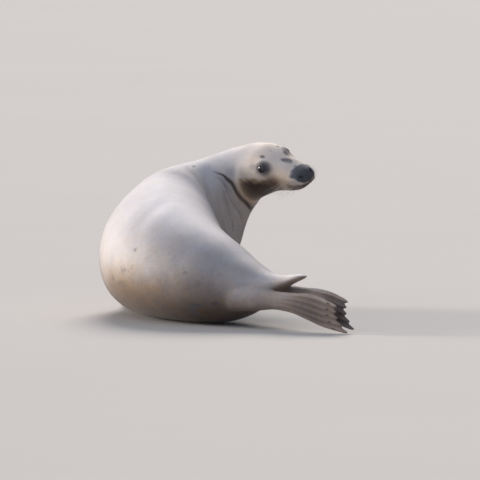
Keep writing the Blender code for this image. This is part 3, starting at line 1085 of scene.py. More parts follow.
        # Painted shade in the grooves of the web between the digits, darker where the digits spread.
        web = 0.5 - 0.5 * np.cos(2 * math.pi * across / DIGIT_PITCH)
        fan = smooth_step(0.42, 0.8, share)
        tone = 0.56 - 0.18 * reach - 0.12 * fan * web
        if hind:
            # Painted shade towards the lower edge.
            tone = tone - 0.02 * smooth_step(0.2, -1.0, across) * reach
            tone = tone + 0.16 * smooth_step(0.72, 0.96, across) * reach
        return np.stack([tone, 0.34 + 0.2 * reach, 0.25 * reach + 0 * tone], axis=-1)


@dataclass(frozen=True)
class Limb:
    """A leg and its flipper, as sections along a bent line, as in the solids."""

    along: tuple  # each section's share of the length
    line: tuple  # their middles
    across: tuple  # their broad way
    half_breadth: tuple
    half_thickness: tuple
    notch: float  # how far the outline's middle draws back, as a share of the length
    slant: float  # how far one edge draws back behind the other
    hind: bool
    side: int  # 1 on the left and -1 on the right
    cut: float = 0.40  # where the digits start to spread
    lobe: float = 0.03  # how far the web draws back between the digits


@dataclass
class Flipper:
    """One leg and flipper: its skin and its claws."""

    name: str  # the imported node's
    limb: Limb

    columns: int = 41  # across each face
    rings: int = 96
    start: float = 0.04
    ridge: float = 0.50  # of the digits over the web, as a share of the thickness
    tip: float = 0.035  # the rounded end's share of the length
    corner_round: float = 0.042  # how far the outline's corners are rounded off, as a share of the length
    bare_tip: float = 0.80  # past this share of the length the skin has no tufts
    hind_claw: tuple = (0.013, 0.0017, 0.90)  # length, radius, and root as a share of the limb's length
    fore_claw: tuple = (0.030, 0.0040, 0.955)

    def __post_init__(self) -> None:
        """Makes the curves that the sections follow."""
        limb = self.limb
        self.line = [Curve(limb.along, [p[k] for p in limb.line]) for k in range(3)]
        self.lean = [Curve(limb.along, [p[k] for p in limb.across]) for k in range(3)]
        self.breadth = Curve(limb.along, limb.half_breadth)
        self.thickness = Curve(limb.along, limb.half_thickness)

    def at(self, share: np.ndarray, v: np.ndarray, side: np.ndarray) -> np.ndarray:
        """Points of the skin.

        Args:
            share: of the limb's length.
            v: place from the lower or rear edge at -1 to the other at 1.
            side: 1 on one face and -1 on the other.

        Returns:
            The points.
        """
        limb = self.limb
        fan = np.clip((share - limb.cut) / (1 - limb.cut), 0, 1)
        digit = np.cos(2 * math.pi * v / DIGIT_PITCH)
        short = limb.notch * (1 - v * v) + limb.slant * (v + 1) / 2 + limb.lobe * (1 - digit) / 2
        corner = np.clip((np.abs(v) - 0.60) / 0.40, 0, 0.999)
        short = short + self.corner_round * (1 - np.sqrt(1 - corner**2))
        place = share - short * fan**1.5
        middle = np.stack([c(place) for c in self.line], axis=-1)
        ahead = unit(np.stack([c(place + 0.005) - c(place - 0.005) for c in self.line], axis=-1))
        across = np.stack([c(place) for c in self.lean], axis=-1)
        across = unit(across - ahead * np.sum(across * ahead, axis=-1, keepdims=True))
        body = np.sqrt(np.clip(1 - np.abs(v) ** 2.6, 0, 1)) * np.ones_like(share)
        swell = body * (1 + fan * (0.3 * digit - self.ridge * (1 - digit) / 2))
        swell = swell * np.sqrt(np.clip((1 - share) / self.tip, 0.0001, 1))
        thick = np.maximum(self.thickness(share) - 0.0004, 0.0008) * swell
        wide = self.breadth(share) - 0.0006
        made = middle + across * (v * wide)[..., None]
        return made + np.cross(ahead, across) * (side * thick)[..., None]

    def build(self) -> Surface:
        """Builds the flipper's surface.

        Returns:
            The grid, with what the coat needs at each point.
        """
        share = np.linspace(self.start, 1, self.rings)[:, None]
        columns = np.sin(np.linspace(-1, 1, self.columns) * math.pi / 2 * 0.999)
        v = np.concatenate([columns, columns[-2:0:-1]])[None]
        side = np.concatenate([np.ones(self.columns), -np.ones(self.columns - 2)])[None]
        points = rest_on_floor(self.at(*np.broadcast_arrays(share, v, side)), 0.002)
        normals = grid_normals(points)
        lie = unit(np.gradient(points, axis=0))
        flat = np.zeros_like(points[..., 0])
        streak = np.stack([0.8 + v * 0.05 + flat, 0.45 * share + flat, flat], axis=-1)
        # On the map each limb has a band of its own beside the trunk, with a column to each face.
        band = (0 if self.limb.hind else 0.48) + (0.24 if self.limb.side > 0 else 0) + 0.02
        column = 0.80 + 0.04 * (side + 1) + 0.03 * (v + 1)
        unwrap = np.stack([column + flat, band + 0.20 * share + flat, flat], axis=-1)
        marks = Markings.limb(*np.broadcast_arrays(share, v), self.limb.hind)
        length = Curve((0.0, 0.35, 0.7, 1.0), (0.0062, 0.0056, 0.0046, 0.0034))(share) + flat
        fur = np.where((points[..., 2] < 0.004) | (share > self.bare_tip), 0, length)
        region = np.full(points.shape[:2], list(Region).index(Region.FLIPPERS))
        return Surface(points, normals, lie, streak, unwrap, marks, fur, region)

    def claws(self) -> tuple[list, list]:
        """The five claws: curved cones that leave the digits near their tips.

        Returns:
            Their points and faces.
        """
        length, radius, root = self.hind_claw if self.limb.hind else self.fore_claw
        top = self.upper_face()
        points, faces = [], []
        for digit in DIGITS:
            v = np.array([digit * DIGIT_PITCH])
            face = np.array([float(top)])
            start = self.at(np.array([root]), v, face)[0]
            ahead = unit(start - self.at(np.array([root - 0.05]), v, face)[0])
            lift = unit(start - self.at(np.array([root]), v, -face)[0])
            side = unit(np.cross(ahead, lift))
            lift = np.cross(side, ahead)
            rings = []
            for share in np.linspace(-0.25, 1, 10):
                thick = radius * max(0.05, 1 - max(share, 0) ** 1.6)
                rise = radius * 0.9 - length * 0.22 * max(share, 0) ** 2 + 0.0002
                rise = rise - radius * 10.4 * max(-share, 0)
                middle = start + ahead * length * share + lift * rise
                angles = np.linspace(0, 2 * math.pi, 10, endpoint=False)[:, None]
                rings.append(middle + np.cos(angles) * side * thick * 0.8 + np.sin(angles) * lift * thick)
            rings = np.array(rings)
            rings[..., 2] = np.maximum(rings[..., 2], 0.0004)
            add_tube(points, faces, rings)
        return points, faces

    def upper_face(self) -> int:
        """The face that bears the claws.

        Returns:
            The sign of the outer face of a hind flipper, and of the upper face of a fore flipper.
        """
        made = self.at(np.array([0.9, 0.9]), np.array([0.0, 0.0]), np.array([1.0, -1.0]))
        if not self.limb.hind:
            return 1 if made[0, 2] > made[1, 2] else -1
        outward = -self.limb.side * (made[:, 0] + made[:, 1])
        return 1 if outward[0] > outward[1] else -1

    def dress(self, horn: bpy.types.Material) -> None:
        """Makes the claws one piece and dresses it.

        Args:
            horn: the claws' finish.
        """
        claws = mesh_object(f"claws_{self.name}", *self.claws(), recalculate=True)
        finish_piece(claws, horn)


def add_tube(points: list, faces: list, rings: np.ndarray) -> None:
    """Adds a closed tube.

    Args:
        points: the mesh's corners, which gain the rings.
        faces: the mesh's faces, which gain the tube's.
        rings: the tube's points, by ring and by place round it.
    """
    count, base = rings.shape[1], len(points)
    points.extend(rings.reshape(-1, 3).tolist())
    for i in range(len(rings) - 1):
        for j in range(count):
            a, b = base + i * count + j, base + i * count + (j + 1) % count
            faces.append([a, b, b + count, a + count])
    faces.append([base + j for j in range(count)][::-1])
    faces.append([base + (len(rings) - 1) * count + j for j in range(count)])


def hind_limb(spine: Spine, side: int) -> Limb:
    """A hind leg and flipper, trailing beside and below the tail.

    Args:
        spine: the body's middle line.
        side: 1 on the left and -1 on the right.

    Returns:
        The limb's sections.
    """
    root, ahead, left, _ = (v[0] for v in spine.frames(np.array([0.0])))
    forward = unit(ahead * (1, 1, 0))
    rise = np.array([0.0, 0.0, 1.0])
    lift = 0.0 if side > 0 else 0.012

    def spot(back: float, out: float, height: float) -> tuple:
        """A point behind the tail root, to the limb's own side and over the floor."""
        return tuple(root * (1, 1, 0) - forward * back + left * out * side + rise * height)

    tilt = tuple(rise * 0.95 + forward * 0.30 + left * side * 0.10)
    return Limb(
        along=(0.0, 0.2, 0.38, 0.5, 0.66, 0.84, 1.0),
        line=(
            spot(-0.150, 0.055, 0.088 + lift),
            spot(-0.060, 0.046, 0.084 + lift),
            spot(0.015, 0.036, 0.081 + lift),
            spot(0.065, 0.029, 0.077 + lift),
            spot(0.130, 0.022, 0.066 + lift),
            spot(0.195, 0.018, 0.050 + lift),
            spot(0.285, 0.018, 0.033 + lift / 2),
        ),
        across=(tuple(rise),) * 5 + (tilt,) * 2,
        half_breadth=(0.046, 0.036, 0.026, 0.028, 0.036, 0.040, 0.038),
        half_thickness=(0.045, 0.034, 0.021, 0.017, 0.0110, 0.0065, 0.0028),
        notch=0.05,
        slant=0.09,
        hind=True,
        side=side,
        lobe=0.021,
    )


def fore_limb(spine: Spine, side: int) -> Limb:
    """A fore flipper on the floor, palm down: the left one reaches forward, the right one trails.

    Args:
        spine: the body's middle line.
        side: 1 on the left and -1 on the right.

    Returns:
        The limb's sections.
    """
    root, ahead, left, _ = (v[0] for v in spine.frames(np.array([0.80])))
    forward = unit(ahead * (1, 1, 0))
    sweep = math.radians(78 if side > 0 else -42)
    out = left * side * math.cos(sweep) + forward * math.sin(sweep)
    lead = forward * math.cos(sweep) - left * side * math.sin(sweep)

    def spot(reach: float, height: float) -> tuple:
        """A point so far out from the shoulder and over the floor."""
        return tuple(root * (1, 1, 0) + left * side * 0.088 + out * reach + np.array([0.0, 0.0, height]))

    slope = tuple(lead * 0.90 + np.array([0.0, 0.0, 0.30]))
    return Limb(
        along=(0.0, 0.25, 0.42, 0.6, 0.8, 1.0),
        line=(
            spot(0.000, 0.080),
            spot(0.062, 0.042),
            spot(0.105, 0.020),
            spot(0.150, 0.0100),
            spot(0.200, 0.0065),
            spot(0.250, 0.0045),
        ),
        across=(slope,) * 2 + (tuple(lead),) * 4,
        half_breadth=(0.050, 0.043, 0.042, 0.047, 0.049, 0.043),
        half_thickness=(0.030, 0.021, 0.014, 0.011, 0.0085, 0.0040),
        notch=-0.03,
        slant=0.16,
        hind=False,
        side=side,
        lobe=0.035,
    )


@dataclass
class Skin:
    """One closed skin over trunk, head and limbs."""

    trunk: Surface
    limbs: list[Surface]
    blend_reach: float = 0.030  # of the smoothing where a limb leaves the body
    blend_rounds: int = 26
    match_reach: float = 0.10  # from the trunk, over which a limb's markings become its own

    def __post_init__(self) -> None:
        """Joins the surfaces and hands their markings on."""
        self.match_marks()
        self.object = self.united()
        self.carry()

    def match_marks(self) -> None:
        """Lets each limb's markings grow out of the trunk's where it leaves it."""
        source = self.trunk.points.reshape(-1, 3)
        for limb in self.limbs:
            index, away = nearest_of(source, limb.points.reshape(-1, 3))
            nearest = self.trunk.marks.reshape(-1, 3)[index].reshape(limb.marks.shape)
            own = smooth_step(0.004, self.match_reach, away.reshape(limb.fur.shape))[..., None]
            limb.marks = nearest + (limb.marks - nearest) * own

    def united(self) -> bpy.types.Object:
        """Joins the trunk and the limbs.

        Returns:
            The union.
        """
        body = self.trunk.mesh("skin")
        others = [limb.mesh(f"limb_{i}") for i, limb in enumerate(self.limbs)]
        for other in others:
            cut = body.modifiers.new("Union", "BOOLEAN")
            cut.operation, cut.solver, cut.object = "UNION", "EXACT", other
            graph = bpy.context.evaluated_depsgraph_get()
            mesh = bpy.data.meshes.new_from_object(body.evaluated_get(graph))
            body.modifiers.clear()
            old, body.data = body.data, mesh
            bpy.data.meshes.remove(old)
            bpy.data.objects.remove(other)
        body.data.name = "skin"
        return body

    def stacked(self, key: str) -> np.ndarray:
        """One array of the trunk's and the limbs' points, one after the other."""
        held = [getattr(source, key) for source in (self.trunk, *self.limbs)]
        flat = [values.reshape(-1, 3) if values.ndim > 2 else values.ravel() for values in held]
        return np.concatenate(flat)

    def carry(self) -> None:
        """Gives each corner of the skin the nearest source point's markings, hair and place."""
        mesh = self.object.data
        points = np.empty(len(mesh.vertices) * 3)
        mesh.vertices.foreach_get("co", points)
        points = points.reshape(-1, 3)
        nearest, gap = nearest_of(self.stacked("points"), points)
        keys = ("lie", "streak", "unwrap", "marks", "fur", "region")
        fields = {key: self.stacked(key)[nearest].astype(float) for key in keys}
        part = nearest >= self.trunk.fur.size
        edges = np.empty(len(mesh.edges) * 2, int)
        mesh.edges.foreach_get("vertices", edges)
        edges = edges.reshape(-1, 2)
        mixed = part[edges[:, 0]] != part[edges[:, 1]]
        rim = np.unique(np.concatenate([edges[mixed].ravel(), np.nonzero(gap > 2e-5)[0]]))
        rim = rim[points[rim, 2] > 0.002]
        weight = self.nearness(points, rim)
        degree = np.maximum(np.bincount(edges.ravel(), minlength=len(points)), 1)
        for _ in range(self.blend_rounds):
            points = self.relaxed(points, edges, degree, weight)
            for key in ("lie", "marks", "fur"):
                values = fields[key] if fields[key].ndim > 1 else fields[key][:, None]
                fields[key] = self.relaxed(values, edges, degree, weight).reshape(fields[key].shape)
        mesh.vertices.foreach_set("co", points.ravel())
        for key in ("lie", "streak", "unwrap", "marks"):
            layer = mesh.attributes.new(key, "FLOAT_VECTOR", "POINT")
            layer.data.foreach_set("vector", fields[key].astype(np.float32).ravel())
        layer = mesh.attributes.new("fur", "FLOAT", "POINT")
        layer.data.foreach_set("value", fields["fur"].astype(np.float32))
        mesh.update()
        slopes = np.empty(len(mesh.vertices) * 3, np.float32)
        mesh.vertex_normals.foreach_get("vector", slopes)
        mesh.attributes.new("skin_normal", "FLOAT_VECTOR", "POINT").data.foreach_set("vector", slopes)
        layer = mesh.attributes.new("region", "INT", "POINT")
        layer.data.foreach_set("value", fields["region"].astype(np.int32))
        mesh.update()
        LOG.info("skin: %d faces, %d on the joins of the limbs", len(mesh.polygons), len(rim))

    def nearness(self, points: np.ndarray, rim: np.ndarray) -> np.ndarray:
        """From 1 at the joins of the limbs to 0 a little way off."""
        return 1 - smooth_step(0.0, self.blend_reach, nearest_of(points[rim], points)[1])

    @staticmethod
    def relaxed(
        values: np.ndarray, edges: np.ndarray, degree: np.ndarray, weight: np.ndarray
    ) -> np.ndarray:
        """Moves values towards the mean of their neighbours'.

        Args:
            values: by corner, in columns.
            edges: the corners at each edge's ends.
            degree: the number of edges at each corner.
            weight: how far each corner moves, from 0 to 1.

        Returns:
            The new values.
        """
        total = np.zeros_like(values)
        for k in range(values.shape[1]):
            total[:, k] = np.bincount(edges[:, 0], values[edges[:, 1], k], len(values))
            total[:, k] += np.bincount(edges[:, 1], values[edges[:, 0], k], len(values))
        return values + (total / degree[:, None] - values) * (weight * 0.6)[:, None]

    def dress(self, material: bpy.types.Material) -> None:
        """Dresses the skin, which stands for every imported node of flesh."""
        finish_piece(self.object, material, tuple(FLESH))


@dataclass(frozen=True)
class CoatFinish:
    """Short seal's hair: dense, dry and flat, so it shows locks along the lie and a faint sheen."""

    name: str
    bump: float  # height of the drawn hair, in metres
    tones: tuple = (0.0, 0.12, 0.45, 0.92)  # where the colours of both rows stand, from dark to pale
    slate: tuple = ("#09090b", "#2b2c30", "#7b7c83", "#e4e2e4")
    brown: tuple = ("#0b0908", "#38271b", "#947d67", "#f4e2cd")
    spot: str = "#5d5b5e"
    roughness: float = 0.62
    specular: float = 0.24
    sheen: float = 0.12
    tufted: bool = False  # a coat of tufts takes its shading mostly from the skin under it

    def material(self) -> bpy.types.Material:
        """Builds the finish.

        Returns:
            The material.
        """
        made, tree, shader = new_finish(self.name)
        marks = add_node(tree, "ShaderNodeAttribute", {"attribute_name": "marks"})
        split = add_node(tree, "ShaderNodeSeparateXYZ", links={0: marks.outputs["Vector"]})
        lie = add_node(tree, "ShaderNodeAttribute", {"attribute_name": "streak"}).outputs["Vector"]
        place = add_node(tree, "ShaderNodeTexCoord").outputs["Object"]
        # Hair locks about 2 mm wide and 15 mm long; single hairs are too fine to show.
        lock = add_node(tree, "ShaderNodeMapping", links={0: lie, "Scale": (480.0, 62.0, 1.0)})
        hair = add_noise(tree, lock.outputs[0], 1.0, 3.0, 0.6, 0.3)
        # Clouds of 60 mm, drifts of warmth of 37 mm and flecks of 14 mm, as on a dry coat.
        cloud = add_noise(tree, place, 16.0, 4.0, 0.55)
        drift = add_noise(tree, place, 27.0, 3.0, 0.5)
        fleck = add_noise(tree, place, 70.0, 3.0, 0.6)
        shade = add_node(tree, "ShaderNodeAttribute", {"attribute_name": "shade"})
        tone = split.outputs["X"]
        for source, amount in ((cloud, 0.14), (hair, 0.10), (fleck, 0.08)):
            centred = add_math(tree, "SUBTRACT", source, 0.5)
            tone = add_math(tree, "MULTIPLY_ADD", centred, amount, tone)
        tone = add_math(tree, "MULTIPLY_ADD", shade.outputs["Fac"], 0.07, tone)
        ramps = []
        for colours in (self.slate, self.brown):
            stops = list(zip(self.tones, colours))
            ramps.append(add_node(tree, "ShaderNodeValToRGB", links={0: tone}, stops=stops))
        drifted = add_math(tree, "SUBTRACT", drift, 0.5)
        warmth = add_math(tree, "MULTIPLY_ADD", drifted, 0.7, split.outputs["Y"], clamp=True)
        coat = add_node(
            tree,
            "ShaderNodeMix",
            {"data_type": "RGBA"},
            {0: warmth, 6: ramps[0].outputs[0], 7: ramps[1].outputs[0]},
        )
        # The flecks break the blotches' edges.
        ragged = add_math(tree, "MULTIPLY_ADD", fleck, 0.9, split.outputs["Z"])
        spotted = add_node(
            tree,
            "ShaderNodeMapRange",
            {"interpolation_type": "SMOOTHSTEP"},
            {0: ragged, 1: 0.80, 2: 1.24, 3: 0.0, 4: 0.80},
        )
        colour = add_node(
            tree,
            "ShaderNodeMix",
            {"data_type": "RGBA"},
            {0: spotted.outputs[0], 6: coat.outputs[2], 7: linear(self.spot)},
        )
        links = {"Strength": 0.9, "Distance": self.bump, "Height": hair}
        if self.tufted:
            under = add_node(tree, "ShaderNodeAttribute", {"attribute_name": "skin_normal"})
            own = add_node(tree, "ShaderNodeNewGeometry")
            blended = add_node(
                tree,
                "ShaderNodeMix",
                {"data_type": "VECTOR"},
                {0: 0.92, 4: own.outputs["Normal"], 5: under.outputs["Vector"]},
            )
            links["Normal"] = blended.outputs[1]
        relief = add_node(tree, "ShaderNodeBump", links=links)
        feed(
            tree,
            shader,
            {
                "Base Color": colour.outputs[2],
                "Normal": relief.outputs[0],
                "Roughness": self.roughness,
                "Specular IOR Level": self.specular,
                "Sheen Weight": self.sheen,
                "Sheen Roughness": 0.45,
            },
        )
        return made


@dataclass(frozen=True)
class PlainFinish:
    """A smooth finish with a fine grain: claw horn, wet lids, whiskers and the floor."""

    name: str
    dark: str
    light: str
    scale: float  # of the grain, in turns per metre
    roughness: float
    bump: float = 0.0
    coat: float = 0.0

    def material(self) -> bpy.types.Material:
        """Builds the finish.

        Returns:
            The material.
        """
        made, tree, shader = new_finish(self.name)
        place = add_node(tree, "ShaderNodeTexCoord").outputs["Object"]
        grain = add_noise(tree, place, self.scale, 4.0, 0.6)
        stops = ((0.32, self.dark), (0.68, self.light))
        colour = add_node(tree, "ShaderNodeValToRGB", links={0: grain}, stops=stops)
        if self.bump:
            links = {"Strength": 0.6, "Distance": self.bump, "Height": grain}
            relief = add_node(tree, "ShaderNodeBump", links=links)
            tree.links.new(relief.outputs[0], shader.inputs["Normal"])
        feed(
            tree,
            shader,
            {
                "Base Color": colour.outputs[0],
                "Roughness": self.roughness,
                "Coat Weight": self.coat,
                "Coat Roughness": 0.08,
            },
        )
        return made


# Keratin, grown in layers and worn: dark with paler flecks.
CLAW_HORN = PlainFinish("claw_horn", "#2a231f", "#5d5047", 260.0, 0.50, 0.0002)
# Bare skin of the lids' edges, always damp: near black with a faint film of water.
WET_LID = PlainFinish("wet_lid_skin", "#131113", "#2c292b", 420.0, 0.55, 0.0003, 0.05)
# Stiff keratin whiskers: pale horn with darker lengths.
WHISKER = PlainFinish("whisker_keratin", "#8a7c6a", "#e9e0d0", 90.0, 0.40)
# Painted studio floor: matt, pale and almost even.
FLOOR_PAINT = PlainFinish("floor_paint", "#b6b4b0", "#b8b6b2", 0.6, 0.80)


@dataclass(frozen=True)
class EyeFinish:
    """A living eye: near-black brown iris and wide pupil under a wet, clear cornea."""

    name: str = "wet_eye"
    rings: tuple = (  # from the pupil outwards: the share of the half turn, and the colour
        (0.13, "#050405"),
        (0.165, "#20150e"),
        (0.21, "#1a110c"),
        (0.26, "#0c0a09"),
        (0.36, "#2c2624"),
    )

    def material(self) -> bpy.types.Material:
        """Builds the finish.

        Returns:
            The material.
        """
        made, tree, shader = new_finish(self.name)
        gaze = add_node(tree, "ShaderNodeAttribute", {"attribute_name": "gaze"})
        place = add_node(tree, "ShaderNodeTexCoord").outputs["Object"]
        # The iris's fibres, about 1 mm apart, make the rings waver.
        wavy = add_math(tree, "MULTIPLY_ADD", add_noise(tree, place, 900.0), 0.03, gaze.outputs["Fac"])
        colour = add_node(tree, "ShaderNodeValToRGB", links={0: wavy}, stops=self.rings)
        feed(
            tree,
            shader,
            {
                "Base Color": colour.outputs[0],
                "Roughness": 0.12,
                "Coat Weight": 1.0,
                "Coat Roughness": 0.03,
            },
        )
        return made


@dataclass
class Eyes:
    """The eyeballs and the rims of the lids."""

    face: Face
    cornea: float = 0.0012  # how far it bulges
    lid_size: tuple = (0.0015, 0.0008)  # half width and half height of the lids' edge
    lid_points: int = 72  # round the opening
    lid_sides: int = 10  # round the rim's own section
    lid_spread: float = 1.06  # of the rim over the opening

    def ball(self, side: int, word: str) -> bpy.types.Object:
        """An eyeball, its pole at the pupil.

        Args:
            side: 1 on the left and -1 on the right.
            word: left or right.

        Returns:
            The object.
        """
        axes = self.face.gaze(side)
        shape = bmesh.new()
        bmesh.ops.create_uvsphere(shape, u_segments=64, v_segments=48, radius=EYE_RADIUS - 0.0002)
        turn = Matrix((axes[1], axes[2], axes[0])).transposed()
        angles = []
        for vertex in shape.verts:
            angle = math.acos(max(-1, min(1, vertex.co.normalized().z)))
            angles.append(angle / math.pi)
            bulge = 1 - float(smooth_step(0.3, 0.75, np.array(angle)))
            vertex.co *= 1 + self.cornea / EYE_RADIUS * bulge
            vertex.co = turn @ vertex.co + Vector(self.face.eyes[side])
        bmesh.ops.recalc_face_normals(shape, faces=shape.faces)
        mesh = bpy.data.meshes.new(f"eyeball_{word}")
        shape.to_mesh(mesh)
        shape.free()
        mesh.attributes.new("gaze", "FLOAT", "POINT").data.foreach_set("value", angles)
        mesh.shade_smooth()
        return linked(f"eyeball_{word}", mesh)

    def lid(self, side: int, word: str) -> bpy.types.Object:
        """The dark rim round an eye's opening.

        Args:
            side: 1 on the left and -1 on the right.
            word: left or right.

        Returns:
            The object.
        """
        axes = self.face.gaze(side)
        open_along, open_across = self.face.lid_open
        half_width, half_height = self.lid_size
        power, spread, count = 2 / self.face.lid_power, self.lid_spread, self.lid_sides
        points, faces = [], []
        for i in range(self.lid_points):
            turn = 2 * math.pi * i / self.lid_points
            along = math.copysign(abs(math.cos(turn)) ** power, math.cos(turn)) * open_along * spread
            across = math.copysign(abs(math.sin(turn)) ** power, math.sin(turn)) * open_across * spread
            out = math.sqrt(1 - along**2 - across**2)
            ray = np.array([out, along, across]) @ axes
            away = unit(np.array([0.0, along / open_along**2, across / open_across**2]) @ axes)
            away = unit(away - ray * (away @ ray))
            for j in range(count):
                angle = 2 * math.pi * j / count
                height = EYE_RADIUS + 0.0006 + math.cos(angle) * half_height
                points.append(self.face.eyes[side] + ray * height + away * math.sin(angle) * half_width)
                k, m = (i + 1) % self.lid_points, (j + 1) % count
                faces.append([i * count + j, i * count + m, k * count + m, k * count + j])
        return mesh_object(f"lid_rim_{word}", np.array(points).tolist(), faces, recalculate=True)

    def dress(self, eye_finish: bpy.types.Material, lid_finish: bpy.types.Material) -> None:
        """Builds both eyes with their lids and dresses them.

        Args:
            eye_finish: for the eyeballs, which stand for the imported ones.
            lid_finish: for the lids' rims.
        """
        for side, word in ((1, "left"), (-1, "right")):
            finish_piece(self.ball(side, word), eye_finish, (f"eye_{word}",))
            finish_piece(self.lid(side, word), lid_finish)


@dataclass
class Whiskers:
    """Rows of whiskers on the muzzle's sides, and a few over each eye."""

    face: Face
    surface: Surface
    length: tuple = (0.018, 0.060)  # at the front and at the back of a row
    thick: float = 0.00034  # at the root, drawn a little thicker than real ones so that they show
    brow_count: int = 3

    def __post_init__(self) -> None:
        """Places the skin in the head's axes."""
        self.points = self.surface.points.reshape(-1, 3)
        self.normals = self.surface.normals.reshape(-1, 3)
        self.here = self.face.local(self.points)

    def rooted(self, place: tuple) -> tuple[np.ndarray, np.ndarray]:
        """The skin's point nearest a place in the head's axes, and its normal."""
        i = int(np.argmin(np.linalg.norm(self.here - np.array(place), axis=-1)))
        return self.points[i], self.normals[i]

    def build(self) -> bpy.types.Object:
        """Builds every whisker in one mesh.

        Returns:
            The object.
        """
        draw = np.random.default_rng(SEED + 1)
        points, faces = [], []
        for side in (1, -1):
            for (ahead, out, up), share in self.face.whisker_roots():
                short, long = self.length
                length = short + (long - short) * share * draw.uniform(0.7, 1.0)
                self.grow(points, faces, (ahead, out * side, up), side, length, draw)
            for step in range(self.brow_count):
                place = (0.004 - 0.006 * step, side * (0.044 + 0.003 * step), 0.050)
                self.grow(points, faces, place, side, 0.018 * draw.uniform(0.6, 1.0), draw)
        return mesh_object("whiskers", points, faces)

    def grow(
        self,
        points: list,
        faces: list,
        place: tuple,
        side: int,
        length: float,
        draw: np.random.Generator,
    ) -> None:
        """Adds one whisker that leaves the skin and curves back and down.

        Args:
            points: the mesh's corners, which gain the whisker's.
            faces: the mesh's faces, which gain the whisker's.
            place: of the root, in the head's axes.
            side: 1 on the left and -1 on the right.
            length: from root to tip.
            draw: the source of random numbers.
        """
        root, normal = self.rooted(place)
        ahead, left, up = self.face.axes
        way = normal * 0.75 + left * side * 0.30 - up * 0.42 - ahead * 0.40
        way = unit(way + draw.normal(0, 0.07, 3))
        bend = unit(-ahead * 0.9 - up * 0.35)
        rings = []
        for share in np.linspace(0, 1, 9):
            middle = root - normal * 0.001 + way * length * share + bend * length * 0.45 * share**2
            course = unit(way + bend * 0.76 * share)
            one = unit(np.cross(course, up))
            two = np.cross(course, one)
            thick = self.thick * (1 - 0.8 * share)
            angles = np.linspace(0, 2 * math.pi, 5, endpoint=False)[:, None]
            rings.append(middle + (np.cos(angles) * one + np.sin(angles) * two) * thick)
        add_tube(points, faces, np.array(rings))

    def dress(self, keratin: bpy.types.Material) -> None:
        """Builds the whiskers and dresses them."""
        finish_piece(self.build(), keratin)


